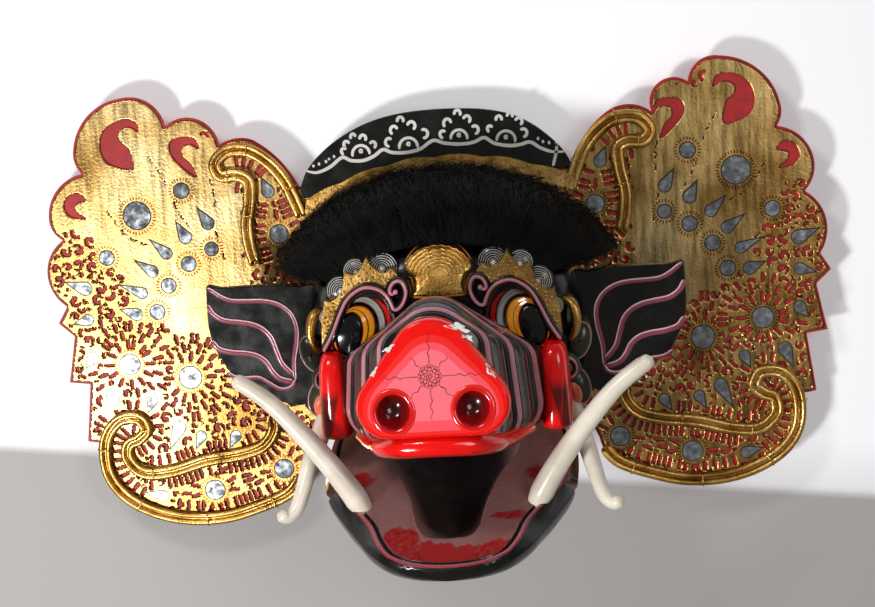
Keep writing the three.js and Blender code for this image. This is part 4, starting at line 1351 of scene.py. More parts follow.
def make_flaps():
    flaps = Bundle()
    angle = full_turn(84)
    for side in (1, -1):
        rows = []
        for y, scale in smooth_path(FLAP_LEVELS, 70):
            flare = 1 + 0.16 * np.clip((-y - 30) / 45, 0, 1)
            x = 91 + 12 * scale * flare * power(np.cos(angle), 0.8)
            z = 158 + 20 * scale * power(np.sin(angle), 0.8)
            rows.append(np.c_[side * x, np.full(84, y), z])
        points, faces = lofted(rows)
        # a dark band bounded by a diagonal on the lower part of each flap is a painted shadow
        along = (points[:, 1] + 78) / 74
        out = (np.abs(points[:, 0]) - 79) / 24
        slant = 0.66 - 0.75 * along
        shade = np.clip((out - slant) / 0.06, 0, 1) * np.clip((0.95 - out) / 0.05, 0, 1) * np.clip(
            (0.60 - along) / 0.12, 0, 1)
        color = np.array(BRIGHT_RED) * (1 - shade[:, None]) + np.array((0.16, 0.003, 0.003)) * shade[:,
                                                                                                     None]
        flaps.add(points, quads=faces[0], color=color)
    flaps.make("red_flaps", LACQUER_SMOOTH, slot="black_lacquer")


# Eyes, drawn by pixels of the photograph on the left and mirrored

EYE_MIDDLE = (351.0, 332.0)
EYE_HEIGHT = 160.0
PUPIL = (349.5, 334.0, 12.5, 21.5, 10.0)
IRIS = (354.5, 331.5, 20.5, 26.5, 20.0)
EYE_OPENING = [(322.5, 354), (330, 343), (335, 333), (338, 324), (342, 314), (348, 305.5), (357, 299),
               (368, 297.5), (378, 300.5), (386, 307.5), (391.5, 318), (393, 328), (390, 338), (383, 346),
               (366, 354), (350, 364), (340, 364), (331, 360)]
LID_LINE = [(331, 346), (336, 332), (340, 319), (347, 305), (357, 296.5), (368, 294.5), (380, 298),
            (389, 306), (394, 318), (395, 330), (391, 340)]
BROW_LINE = [(323.5, 351.7), (332.4, 334), (340.2, 313.4), (347, 299.7), (356.9, 290.9), (366.7, 287.5),
             (378.4, 289.9), (386.3, 295.8), (391.2, 303.6), (393.7, 309.1), (398, 309.1), (402.9, 303.6),
             (405.9, 293.8), (403.9, 285), (399, 281), (393.1, 283), (389.8, 288.9), (390.6, 293.8),
             (395, 293.8)]
BROW_END = (395.5, 292.0)
ORNAMENT = [(322, 347), (321.5, 322), (324.5, 300.7), (329.5, 302.5), (336.3, 298.7), (342.5, 289),
            (344.1, 271.9), (349, 275), (355.9, 275.2), (361.7, 267.4), (365.7, 257), (370, 265.5),
            (379.4, 273.2), (385.3, 273.2), (391.2, 268.3), (400, 277.2), (396, 281.5), (389, 286),
            (386, 292), (378, 286.3), (366, 284), (356, 287), (345, 296), (338, 311), (330, 331)]
SPIRAL_LOBES = [(329, 318, 9), (341, 291, 13.5), (356, 272, 12), (382, 268, 14.5)]


def lifted_line(pixels, height):
    return np.array([lifted(px, py, height) for px, py in pixels])


def ellipse(x, y, rx, ry, tilt, count=120):
    angle = full_turn(count)
    lean = math.radians(tilt)
    a, b = rx * np.cos(angle), ry * np.sin(angle)
    return np.stack([x + a * math.cos(lean) + b * math.sin(lean),
                     y + a * math.sin(lean) - b * math.cos(lean)], axis=1)


def polar_reach(outline, directions):
    away = np.asarray(outline) - np.array(EYE_MIDDLE)
    angle = np.arctan2(away[:, 1], away[:, 0])
    order = np.argsort(angle)
    return np.interp(directions, angle[order], np.linalg.norm(away, axis=1)[order], period=2 * math.pi)


def eye_dome(flat):
    away = np.linalg.norm(flat - np.array([-77.0, 9.0]), axis=1)
    ball = 8.5 * np.clip(1 - (away / 27) ** 2, 0, 1)
    return 157.5 + ball - 0.06 * away


def make_eyes():
    count = 160
    directions = np.linspace(-math.pi, math.pi, count, endpoint=False)
    opening = polar_reach(resampled(EYE_OPENING, 1.0), directions)
    pupil = polar_reach(ellipse(*PUPIL), directions)
    iris = np.maximum(polar_reach(ellipse(*IRIS), directions), pupil + 0.6)
    corner = np.cos(directions - math.radians(142)) > 0.45
    edges = [0 * pupil, pupil, pupil + 0.9, pupil + 0.45 * (iris - pupil), iris - 0.8, iris, iris + 2.2,
             iris + 6.0, iris + 9.5, iris + 10.5, iris + 16.0, iris + 30]
    bands = [((0.003, 0.003, 0.003),) * 2, ((0.32, 0.03, 0.004),) * 2, (ORANGE, AMBER),
             (AMBER, (0.85, 0.26, 0.01)),
             ((0.5, 0.10, 0.01),) * 2, ((0.02, 0.014, 0.012),) * 2, (CHARCOAL, (0.50, 0.45, 0.40)),
             ((0.50, 0.45, 0.40), (0.13, 0.11, 0.10)), ((0.02, 0.01, 0.01),) * 2, (RED, (0.45, 0.01, 0.01)),
             (BLACK, BLACK)]
    eyes = Bundle()
    for side in (-1, 1):
        rows, colors = [], []
        for k, (first, last) in enumerate(bands):
            for blend in np.linspace(0, 1, 2 if k in (1, 4, 5) else 7):
                reach = np.minimum(edges[k] * (1 - blend) + edges[k + 1] * blend, opening)
                pixels = np.array(EYE_MIDDLE) + reach[:, None] * np.stack([np.cos(directions),
                                                                           np.sin(directions)], 1)
                flat = lifted_line(pixels, EYE_HEIGHT)[:, :2]
                rows.append(np.c_[flat, eye_dome(flat)])
                color = np.tile(np.array(first) * (1 - blend) + np.array(last) * blend, (count, 1))
                if k > 5:
                    color[corner] = (0.42, 0.008, 0.010)
                colors.append(color)
        rim = rows[-1].copy()
        rim[:, 2] -= 14
        rows.append(rim)
        colors.append(np.tile(BLACK, (count, 1)))
        points = np.concatenate(rows)
        quads = grid_faces(len(rows), count, wrap=True)
        if side > 0:
            points = mirrored_points(points)
        else:
            quads = quads[:, ::-1]
        eyes.add(points, quads=quads, color=np.concatenate(colors))
    eyes.make("eyes", LACQUER_SMOOTH, slot="black_lacquer")


def on_both_sides(bundle, shape, color):
    """Adds a shape made for the left side and its mirror image."""
    points, quads, triangles = shape
    bundle.add(points, quads, triangles, color)
    bundle.add(mirrored_points(points), np.asarray(quads)[:, ::-1], np.asarray(triangles)[:, ::-1], color)


def traced_tube(pixels, height, half_side, half_rise, count, sides=12, taper=0.06, sink=0.0):
    path = smooth_path(lifted_line(pixels, height), count)
    path[:, 2] -= sink
    ends = rounded_ends(count, taper)
    return tube(path, half_side * ends, half_rise * ends, sides)


def make_brows():
    lines = Bundle()
    lid = smooth_path(lifted_line(LID_LINE, 162), 90)
    lid[:, 2] = eye_dome(lid[:, :2]) + 0.5
    ends = rounded_ends(90, 0.12, 0.1)
    on_both_sides(lines, tube(lid, 2.6 * ends, 3.4 * ends, 14), BLACK)
    inner = smooth_path(lifted_line(LID_LINE[3:], 163), 70)
    inner[:, 2] = eye_dome(inner[:, :2]) + 2.6
    on_both_sides(lines, tube(inner, 0.7 * rounded_ends(70), 0.9 * rounded_ends(70), 8), (0.34, 0.22, 0.21))
    on_both_sides(lines, traced_tube(BROW_LINE, 164, 4.4, 7.5, 160, 16, sink=3.5), BLACK)
    on_both_sides(lines, traced_tube(BROW_LINE, 167, 1.5, 2.0, 200, 12, 0.02), PINK)
    end = lifted(*BROW_END, 167)
    size = 2.2 * np.sqrt(1 - np.linspace(-0.98, 0.98, 9) ** 2)
    ball = tube([end + [0, 0, h] for h in np.linspace(-2.2, 2.2, 9)], size, size, 20, up=(0.0, 1.0, 0.0))
    on_both_sides(lines, ball, PINK)
    lines.make("brow_lines", LACQUER, slot="black_lacquer")


def make_spiral_lobes():
    lobes = Bundle()
    angle = full_turn(36)
    for px, py, radius in SPIRAL_LOBES:
        centre = lifted(px, py, 152)
        size = radius * 0.86
        rows = []
        for t in np.linspace(0, math.pi / 2, 10):
            reach = 1.12 * size * math.cos(t)
            rows.append(level(around(centre, reach, angle), centre[2] - 4 + 6 * math.sin(t)))
        rows.insert(0, rows[0] - np.array([0, 0, 26]))
        points = np.concatenate(rows)
        quads = turned_outward(points, [grid_faces(len(rows), 36, wrap=True)])[0]
        on_both_sides(lobes, (points, quads, np.zeros((0, 3), int)), BLACK)
        for k in range(6):
            share = 0.22 + 0.15 * k
            t = math.acos(min(share / 1.12, 1.0))
            loop = level(around(centre, share * size, angle), centre[2] - 4 + 6 * math.sin(t) + 0.15)
            path = np.concatenate([loop, loop[:2]])
            on_both_sides(lobes, tube(path, 0.36, 0.36, 6, ends=False), (0.46, 0.45, 0.42))
        core = level(around(centre, 0.15 * size, angle), centre[2] + 2.4)
        j = np.arange(36)
        disc = (np.concatenate([core, [[centre[0], centre[1], centre[2] + 2.7]]]), np.zeros((0, 4), int),
                np.c_[j, (j + 1) % 36, np.full(36, 36)])
        on_both_sides(lobes, disc, WHITE)
    lobes.make("brow_lobes", LACQUER, slot="black_lacquer")


def stud(centre, radius, height):
    angle = full_turn(10)
    rows = [level(around(centre, radius * math.cos(t), angle), centre[2] + height * math.sin(t))
            for t in np.linspace(0, 1.5, 5)]
    return np.concatenate(rows), grid_faces(5, 10, wrap=True), np.zeros((0, 3), int)


def make_ornaments():
    rims, studs = Bundle(), Bundle()
    outline = counterclockwise(lifted_line(ORNAMENT, 162)[:, :2])
    edge = resampled(outline, 1.2)
    points, faces = slab(edge, 140, 162.5, 0.12)
    for side, shape, turned in (("left", points, faces),
                                ("right", mirrored_points(points), flipped(faces))):
        made = piece(f"brow_ornament_{side}", shape, turned, GILT, slot="gilded_hide", smooth=False)
        made.data.set_sharp_from_angle(angle=math.radians(30))
    low, high = outline.min(axis=0), outline.max(axis=0)
    spots = low + rng.random((900, 2)) * (high - low)
    depth = signed_distance(spots, edge)
    taken = []
    for spot, inset_by in zip(spots, depth):
        if inset_by > 1.5 and all(np.linalg.norm(spot - other) > 2.9 for other in taken):
            taken.append(spot)
            on_both_sides(studs, stud((*spot, 162.3), 1.15, 1.5), (1.0, 0.95, 0.85))
    studs.make("ornament_studs", LEAF, slot="gilded_hide")
    rim = smooth_path(lifted_line([(324, 349)] + ORNAMENT[:-9:-1] + [(391, 286)], 163.5), 90)
    on_both_sides(rims, tube(rim, 0.9, 1.6, 8), (0.75, 0.20, 0.02))
    rims.make("ornament_rims", LACQUER, slot="black_lacquer")


# Forehead plaque

PLAQUE_TILT = math.radians(-22)

# Rows of the plaque from its foot to its middle: scale and height
PLAQUE_ROWS = [(1.0, 0), (1.0, 12.5), (0.985, 16), (0.95, 17.5), (0.8, 18.2), (0.5, 18.6), (0.01, 18.8)]


def plaque_placed(flat, height):
    flat = np.asarray(flat, dtype=float)
    z = np.broadcast_to(height, len(flat))
    y = flat[:, 1] * math.cos(PLAQUE_TILT) - z * math.sin(PLAQUE_TILT)
    return np.c_[flat[:, 0], 34 + y, 143 + flat[:, 1] * math.sin(PLAQUE_TILT) + z * math.cos(PLAQUE_TILT)]


def plaque_outline(step):
    right = [((21.5, -3), (20.5, 5), (22, 13)), ((22, 13), (26, 16), (28.5, 21)),
             ((28.5, 21), (0, 44), (-28.5, 21)),
             ((-28.5, 21), (-26, 16), (-22, 13)), ((-22, 13), (-20.5, 5), (-21.5, -3))]
    line = [p for part in right for p in arc(*part, 20)] + [(-21.5, -3), (0, -4), (21.4, -3)]
    return resampled(line, step)


def make_plaque():
    outline = plaque_outline(0.8)
    middle = np.array([0.0, 17.0])
    rows = []
    for scale, height in PLAQUE_ROWS:
        flat = middle + (outline - middle) * scale
        rows.append(plaque_placed(flat, height))
    points, faces = lofted(rows)
    piece("forehead_plaque", points, faces, GILT, slot="gilded_hide")
    relief, edge = Bundle(), Bundle()
    for k in range(7):
        reach = 9 + 3.6 * k
        angle = np.linspace(math.radians(8 - k), math.radians(172 + k), 60)
        line = np.stack([reach * 0.94 * np.cos(angle), 12 + reach * 0.86 * np.sin(angle)], axis=1)
        keep = signed_distance(line, outline) > 1.6
        if keep.sum() > 8:
            line = line[keep]
            wavy = line * (1 + 0.012 * np.sin(np.linspace(0, 60, len(line))))[:, None]
            relief.add(*tube(plaque_placed(wavy, 18.5), 0.75, 0.9, 8), color=(1.0, 0.96, 0.86))
    for x in np.arange(-14, 15, 3.5):
        for y in np.arange(-2, 11, 3.2):
            turn = np.linspace(0, 4.6, 12) + rng.random() * 6
            curl = np.stack([x + 1.35 * np.cos(turn) * (1 - turn / 30), y + 1.25 * np.sin(turn)], axis=1)
            relief.add(*tube(plaque_placed(curl, 18.5), 0.42, 0.6, 6), color=(1.0, 0.9, 0.7))
    relief.make("plaque_relief", GILT, slot="gilded_hide")
    loop = plaque_outline(1.0)
    ring_path = plaque_placed(np.concatenate([loop, loop[:2]]), 13.8)
    edge.add(*tube(ring_path, 0.9, 1.3, 8, ends=False), color=(0.78, 0.22, 0.02))
    edge.make("plaque_edge", LACQUER, slot="black_lacquer")


# Temple horns, cheeks

def make_horns():
    horns = Bundle()
    path = smooth_path([(-100, 25, 128), (-108, 20, 136), (-111, 8, 138), (-109, -3, 137),
                        (-104, -11, 133)], 60)
    share = np.linspace(0, 1, 60)
    size = rounded_ends(60)
    on_both_sides(horns, tube(path, (5.2 - 2.6 * share) * size, (6.0 - 3 * share) * size, 18), np.ones(3))
    horns.make("temple_horns", GILT, slot="gilded_hide")


def make_cheeks():
    cheeks = Bundle()
    share = np.linspace(0, 1, 70)
    angle = np.radians(200 - 288 * share)
    reach = 14 * (1 - 0.54 * share)
    path = np.stack([-(100 + reach * np.cos(angle)), -34 + reach * np.sin(angle), 137 + 2.4 * share],
                    axis=1)
    size = rounded_ends(70, 0.1)
    on_both_sides(cheeks, tube(path, (5.4 - 2.4 * share) * size, (7 - 3 * share) * size, 14), OLIVE)
    line = path + np.array([0, 0, 1.0]) * ((7 - 3 * share) * size)[:, None]
    on_both_sides(cheeks, tube(line, 1.0 * size, 0.7 * size, 8), PINK)
    for x, y, z, rx, ry, lean in ((-112, -12, 128, 10, 17, 0.3), (-108, -52, 118, 12, 18, -0.3)):
        rows = []
        turn = full_turn(40)
        for t in np.linspace(0, 1.5, 9):
            a, b = rx * math.cos(t) * np.cos(turn), ry * math.cos(t) * np.sin(turn)
            rows.append(np.c_[x + a * math.cos(lean) - b * math.sin(lean),
                              y + a * math.sin(lean) + b * math.cos(lean),
                              np.full(40, z + 8 * math.sin(t))])
        rows.insert(0, rows[0] - np.array([0, 0, 22]))
        points = np.concatenate(rows)
        quads = turned_outward(points, [grid_faces(len(rows), 40, wrap=True)])[0]
        on_both_sides(cheeks, (points, quads, np.zeros((0, 3), int)), OLIVE)
        rim = rows[3] + np.array([0, 0, 0.4])
        on_both_sides(cheeks, tube(np.concatenate([rim, rim[:2]]), 0.7, 0.5, 6, ends=False),
                      (0.36, 0.24, 0.22))
    wedge = smooth_path([(-104, -44, 146), (-108, -54, 143), (-107, -66, 139)], 30)
    wedge_size = rounded_ends(30, 0.5, 0.05)
    on_both_sides(cheeks, tube(wedge, 4.2 * wedge_size, 4 * wedge_size, 12), SALMON)
    cheeks.make("cheek_carving", LACQUER, slot="black_lacquer")


# Lower jaw, drawn level about its hinge and then swung open

# Stations: distance from the hinge, half width at the rim, swell below it, depth
JAW_STATIONS = [(0, 76, 0, 30), (33, 77, 0, 38), (35, 100, 2, 42), (62, 103, 3, 50), (92, 101, 5, 51),
                (114, 95, 7, 50), (141, 77, 11, 47), (158, 66, 12, 42), (177, 59, 8, 34), (192, 51, 4, 25),
                (200, 41.5, 3, 19), (205, 31.5, 2, 15), (208, 20, 1, 12), (209.3, 10, 1, 11),
                (210, 0.6, 0, 10)]
THROAT = [(-40, 62, 24), (20, 62, 26), (40, 64, 32), (72, 57, 34), (96, 44, 34), (124, 34, 32),
          (156, 28, 22), (170, 24, 7), (176, 21, -6)]
JAW_CURVE = np.concatenate([JAW_STATIONS[:2], smooth_path(JAW_STATIONS[2:], 200)])
RIM_COLUMNS, PLATE_COLUMNS, THROAT_COLUMNS, UNDER_COLUMNS = 28, 12, 26, 56
PLATE_PINK = (0.32, 0.15, 0.14)
PLATE_RED = (0.40, 0.012, 0.012)


def swung_open(points):
    points = np.asarray(points, dtype=float)
    lean = math.radians(JAW_OPENING)
    y = points[:, 1] * math.cos(lean) - points[:, 2] * math.sin(lean)
    z = points[:, 1] * math.sin(lean) + points[:, 2] * math.cos(lean)
    return np.c_[points[:, 0], y, z] + HINGE


def station(z):
    return [np.interp(z, JAW_CURVE[:, 0], JAW_CURVE[:, k]) for k in (1, 2, 3)]


def from_jaw_edge(x, z):
    """Distance inwards from the jaw's outline, seen from above."""
    stations = JAW_CURVE[2::5, :2]
    side = np.concatenate([[[-60.0, 100.0]], stations, [[209.8, -10.0]]])
    return line_distance(np.stack([np.abs(x), z], axis=1), side[:, ::-1], closed=False)


def jaw_top(x, z, throat_half, throat_depth):
    edge = from_jaw_edge(x, z)
    rim = np.interp(edge, [0, 0.8, 2.4, 4.2, 5.2, 6.6, 7.6, 9], [2.0, 3.3, 3.8, 3.3, 0.8, 0.4, 2.2, 2.4])
    inward = np.clip(1 - x / throat_half, 0, 1)
    throat = 7 - (throat_depth + 7) * np.clip(1 - (1 - inward) ** (1 / 0.7), 0, 1) ** 0.7
    return np.minimum(rim, np.where(x < throat_half, throat, 99.0))


def jaw_ring(z):
    half, swell, depth = station(z)
    throats = np.array(THROAT, dtype=float)
    throat_half, throat_depth = [np.interp(z, throats[:, 0], throats[:, k]) for k in (1, 2)]
    if z > 176:
        throat_depth = -7.5
    lip_half = min(throat_half, max(half - 11, half * 0.5))
    angle = np.linspace(0, math.pi / 2, THROAT_COLUMNS)
    inner = max(half - 11, half * 0.5)
    x = np.concatenate([np.linspace(half, inner, RIM_COLUMNS),
                        np.linspace(inner, lip_half, PLATE_COLUMNS)[1:],
                        lip_half * power(np.cos(angle), 0.7)[1:]])
    x[-1] = 0.0
    right = np.stack([x, jaw_top(x, np.full(len(x), z), lip_half, throat_depth)], axis=1)
    left = right[-2::-1] * np.array([-1, 1])
    turn = np.pi + np.pi * np.arange(1, UNDER_COLUMNS) / UNDER_COLUMNS
    under = np.stack([(half + swell) * power(np.cos(turn), 0.7), depth * power(np.sin(turn), 0.75)], axis=1)
    line = np.concatenate([right, left, under])
    return level(line, z)


def jaw_color(points):
    edge = from_jaw_edge(points[:, 0], points[:, 2])
    x, y, z = points.T
    color = np.tile(np.array(PLATE_PINK), (len(points), 1))
    rough = 3 * np.sin(x * 0.35 + z * 0.2) + 2 * np.sin(x * 0.9 - z * 0.5)
    red = z > 181 + 3 * np.sin(x * 0.10) + 0.5 * rough
    red |= np.hypot((x + 38) / 16, (z - 174) / 14) + rough / 40 < 1
    red |= np.hypot((x - 50) / 15, (z - 150) / 5) + rough / 30 < 1
    red |= np.hypot((np.abs(x) - 74) / 10, (z - 100) / 9) + rough / 40 < 1
    color[red] = PLATE_RED
    # the throat darkens with depth and towards the back as painted shade, over its own dark brown paint
    deep = np.clip((0.5 - y) / 16, 0, 1)[:, None]
    front = np.clip((z - 140) / 28, 0, 1)[:, None]
    throat = np.array((0.015, 0.004, 0.003)) * (1 - front) + np.array((0.34, 0.20, 0.18)) * front
    color = color * (1 - deep) + throat * deep
    color[(edge < 8.0) & (y > -1)] = BLACK
    color[(edge < 4.7) & (y > 0.9)] = PINK
    color[(edge < 2.2) & (y > 0.9)] = (0.36, 0.03, 0.04)
    color[edge < 0.7] = BLACK
    return color


def outside_of_jaw(points, color):
    """Sinks the notch of the jaw's side and draws the line along its front edge."""
    _, y, z = points.T
    front = 112.5 + 0.04 * y
    high = (y > -40) & (z > 80)
    notch = high & (z < front) & (z > 112 + (y - 6) * 0.55)
    points[notch, 0] *= 0.955
    color[notch] = (0.10, 0.004, 0.004)
    color[high & (np.abs(z - front - 1.3) < 1.6)] = PINK
    return points, color


def make_jaw():
    levels = np.concatenate([np.linspace(0, 33, 12), np.linspace(33.3, 36, 5), np.linspace(37, 192, 104),
                             np.linspace(192.6, 209.95, 40)])
    rows = [jaw_ring(z) for z in levels]
    points, faces = lofted(rows)
    columns = len(rows[0])
    column = np.arange(columns)
    upper = columns - UNDER_COLUMNS + 1
    top = np.tile(column < upper, len(rows))
    color = np.where(top[:, None], jaw_color(points), np.array(BLACK))
    color[top & (points[:, 2] < 33.2)] = (0.05, 0.014, 0.012)
    points[~top], color[~top] = outside_of_jaw(points[~top], color[~top])
    plate = (column > RIM_COLUMNS - 5) & (column < upper - RIM_COLUMNS + 4)
    throat_start = RIM_COLUMNS + PLATE_COLUMNS
    throat = (column > throat_start) & (column < upper - throat_start - 1)
    slots = np.tile(np.where(throat, 2, np.where(plate, 0, 1)), len(rows) - 1)
    slots = np.concatenate([slots, [1, 1]])
    materials = [JAW_PAINT, LACQUER, THROAT_PAINT]
    jaw = piece("jaw", swung_open(points), faces, materials, body="jaw", slot="jaw_paint", slots=slots,
                colors=color)
    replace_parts(jaw, "lower_jaw")
    parts = Bundle()
    for side in (1, -1):
        rod, faces = across_rod(min(side * 50, side * 76), max(side * 50, side * 76), 0, 0, 15, 48)
        brown = (0.10, 0.05, 0.035)
        parts.add(swung_open(rod), quads=faces[0], color=brown)
        for group in faces[1:]:
            first = group[0]
            fan = np.stack([np.full(46, first[0]), first[1:47], first[2:48]], axis=1)
            parts.add(swung_open(rod), triangles=fan, color=brown)
    parts.make("jaw_barrels", JAW_PAINT, body="jaw", slot="jaw_paint", smooth=False)


# Tusks, ears

LOWER_TUSK = [(67, -13.9, 133.4), (72, 0.4, 131.1), (88, 27.5, 122.9), (112, 58.3, 110.8),
              (140, 85.5, 95.8), (169, 103.3, 84.2)]
UPPER_TUSK = [(92, -50, 112), (103, -67, 138), (114, -94, 166), (121, -117, 182), (126, -129, 188.5),
              (133, -134, 193), (140, -130, 197)]


def blunt_tusk(path, side_size, rise_size, up, count=90):
    line = smooth_path(path, count)
    share = np.linspace(0, 1, count)
    tip = np.sqrt(np.clip(1 - np.clip((share - 0.965) / 0.035, 0, 1) ** 2.4, 0.02, 1))
    root = 0.42 + 0.58 * np.clip(share / 0.14, 0, 1) ** 0.7
    half_side = (side_size[0] - side_size[1] * share) * tip * root
    half_rise = (rise_size[0] - rise_size[1] * share) * tip * root
    return tube(line, half_side, half_rise, 40, up=up)


def make_tusks():
    shapes = {"lower": (LOWER_TUSK, (10.5, 4.3), (11.5, 4.8), (0.0, 0.42, 0.91), "jaw"),
              "upper": (UPPER_TUSK, (9.5, 4.0), (10.5, 4.6), (0.0, 0.7, 0.7), "root")}
    for row, (path, side_size, rise_size, up, body) in shapes.items():
        points, quads, caps = blunt_tusk(path, side_size, rise_size, up)
        faces = turned_outward(points, [quads, caps])
        share = np.concatenate([np.repeat(np.linspace(0, 1, 90), 40), [0, 1]])
        ends = np.interp(share, [0, 0.04, 0.10, 0.9, 1.0], [0.55, 0.72, 1, 1, 0.93])
        for side in ("right", "left"):
            shape, turned = on_side(side, points, faces)
            placed_shape = swung_open(shape) if row == "lower" else shape
            color = ends[:, None] * np.ones(3)
            tusk = piece(f"tusk_{row}_{side}_ivory", placed_shape, turned, IVORY, body=body,
                         slot="ivory_paint",
                         colors=color)
            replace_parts(tusk, f"tusk_{row}_{side}")


EAR_LOW, EAR_HIGH = 97.0, 106.0
EAR_EDGE = [(318, 291), (297, 286.5), (270, 285.5), (240, 287), (220, 288), (207, 286), (206, 292),
            (207, 312), (209, 330), (214, 347), (223, 362), (229, 371), (240, 380), (252, 383), (262, 390),
            (275, 399), (290, 404), (306, 404), (314, 390), (318, 360)]

# Lines of the left ear by pixels of the photograph
EAR_LINES = [
    ([(207, 288), (220, 296.5), (231, 300.8), (245, 301.3), (262, 301.2), (275, 303.5), (286, 309.5),
      (293, 318),
      (296.5, 330), (296, 345), (294, 358), (294, 370), (295, 380)], 3.4),
    ([(207.5, 305), (213, 314), (224, 320.5), (240, 322.5), (252, 324.5), (263, 329.5), (271, 338),
      (276, 350),
      (281, 362), (288, 370), (294, 375)], 4.0),
    ([(212, 341), (219, 349), (232, 352.5), (246, 353.5), (257, 356), (266, 362), (272, 371), (279, 378),
      (288, 381), (293, 380.5)], 4.4),
    ([(227, 372.5), (236, 377), (247, 378), (259, 377.8), (269, 383), (279, 388.5), (287, 389), (293, 386),
      (296, 380)], 2.8),
]


def make_ears():
    outline = mirrored_points(smooth_path(lifted_line(EAR_EDGE, EAR_HIGH), 260, closed=True))[:, :2]
    points, faces = slab(counterclockwise(outline), EAR_LOW, EAR_HIGH, 0.8)
    for side in ("right", "left"):
        ear = Bundle()
        made = piece(f"ear_{side}_board", *on_side(side, points, faces), LACQUER, slot="black_lacquer",
                     colors=BLACK)
        made.data.set_sharp_from_angle(angle=math.radians(30))
        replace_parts(made, f"ear_{side}")
        for pixels, width in EAR_LINES:
            path = smooth_path(lifted_line(pixels, EAR_HIGH), 110)
            path[:, 2] = EAR_HIGH - 0.2
            if side == "right":
                path = mirrored_points(path)
            size = rounded_ends(110, 0.05, 0.15) * width * 0.62
            ear.add(*tube(path, size, 1.7 * rounded_ends(110, 0.05, 0.3), 12), color=(0.24, 0.06, 0.09))
            inward = 0.72 if side == "left" else -0.72
            offset = path_frames(path, (0.0, 0.0, 1.0))[1] * size[:, None] * inward
            lit = path + offset * np.array([1, 1, 0]) + np.array([0, 0, 1.1])
            ear.add(*tube(lit, 0.75 * rounded_ends(110, 0.05), 0.55 * rounded_ends(110, 0.05), 6),
                    color=(0.78, 0.46, 0.48))
        ear.make(f"ear_{side}_lines", LACQUER, slot="black_lacquer")


# Mane of loose hair over a dark bulk

MANE_OUTSIDE = [(62, 156, 124), (84, 150, 123), (107, 136, 114), (128, 118, 101), (150, 90, 76)]
HAIRS = 21000


def mane_point(height, angle):
    """Point of the mane's slope: height 0 at its outer hem and 1 at its inner edge."""
    slope = np.array(MANE_OUTSIDE, dtype=float)
    place = np.asarray(height) * (len(slope) - 1)
    z, half, top = [np.interp(place, np.arange(len(slope)), slope[:, k]) for k in range(3)]
    c, s = np.cos(angle), np.sin(angle)
    bend = 1.0 - 0.16 * np.asarray(height)
    return np.stack([half * power(c, bend), top * power(s, bend), z], axis=-1)


def make_mane():
    first, last = math.radians(25), math.radians(155)
    angle = np.linspace(first, last, 120)
    heights = np.linspace(0.02, 0.93, 26)
    rows = np.array([mane_point(np.full(120, h), angle) for h in heights])
    rows[:, :, 2] -= 2.5
    under = rows[::-1].copy()
    under[:, :, :2] *= 0.94
    under[:, :, 2] -= 7
    shell = np.concatenate([rows, under])
    points = shell.reshape(-1, 3)
    quads = grid_faces(len(shell), 120)
    last_row = (len(shell) - 1) * 120
    closing = np.c_[last_row + np.arange(119), last_row + np.arange(1, 120), np.arange(1, 120),
                    np.arange(119)]
    keep = points[:, 1] > 50
    faces = [group[np.all(keep[group], axis=1)] for group in (quads, closing)]
    bulk = piece("mane_skin", points, faces, FUR, slot="black_fur")
    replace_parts(bulk, "mane")
    count = HAIRS
    start_height = 0.10 + 0.94 * rng.random(count) ** 0.70
    start_angle = first + rng.random(count) * (last - first)
    length = (42 + 34 * rng.random(count)) * np.clip(0.45 + start_height, 0.5, 1)
    lock = 0.30 * np.sin(start_angle * 23 + start_height * 9) + 0.18 * np.sin(start_angle * 51 + 2)
    lean = lock + (rng.random(count) - 0.5) * 0.8
    loft = 2 + 7 * rng.random(count) ** 2
    steps = []
    for share in (0.0, 0.25, 0.5, 0.75, 1.0):
        height = start_height - share * length / 112
        place = mane_point(np.maximum(height, 0), start_angle + lean * share * 0.42)
        over = np.minimum(height, 0)[:, None]
        radial = unit(place * np.array([1, 1, 0.0]))
        place = place - over * 112 * (radial * 0.40 - np.array([0, 0, 0.80]))
        lift = (1.0 + loft * math.sin(math.pi * (0.15 + 0.75 * share)))[:, None]
        jitter = (rng.random((count, 3)) - 0.5) * 1.2
        steps.append(place + lift * unit(radial + np.array([0, 0, 0.8])) + jitter)
    steps = np.stack(steps, axis=1)
    steps = steps[(steps[:, :, 1] > 49).all(axis=1)]
    count = len(steps)
    along = unit(steps[:, -1] - steps[:, 0])
    side = unit(np.cross(along, np.array([0.15, 0.1, 1.0])))
    widths = np.array([0.36, 0.36, 0.32, 0.24, 0.06])
    left = steps - side[:, None] * widths[:, None]
    right = steps + side[:, None] * widths[:, None]
    points = np.concatenate([left, right], axis=1).reshape(-1, 3)
    base = np.arange(count) * 10
    quads = np.concatenate([np.c_[base + k, base + k + 1, base + k + 6, base + k + 5] for k in range(4)])
    piece("mane_hair", points, quads, FUR, slot="black_fur")


# Crown board with white drawing, and the gilded fringe on its foot

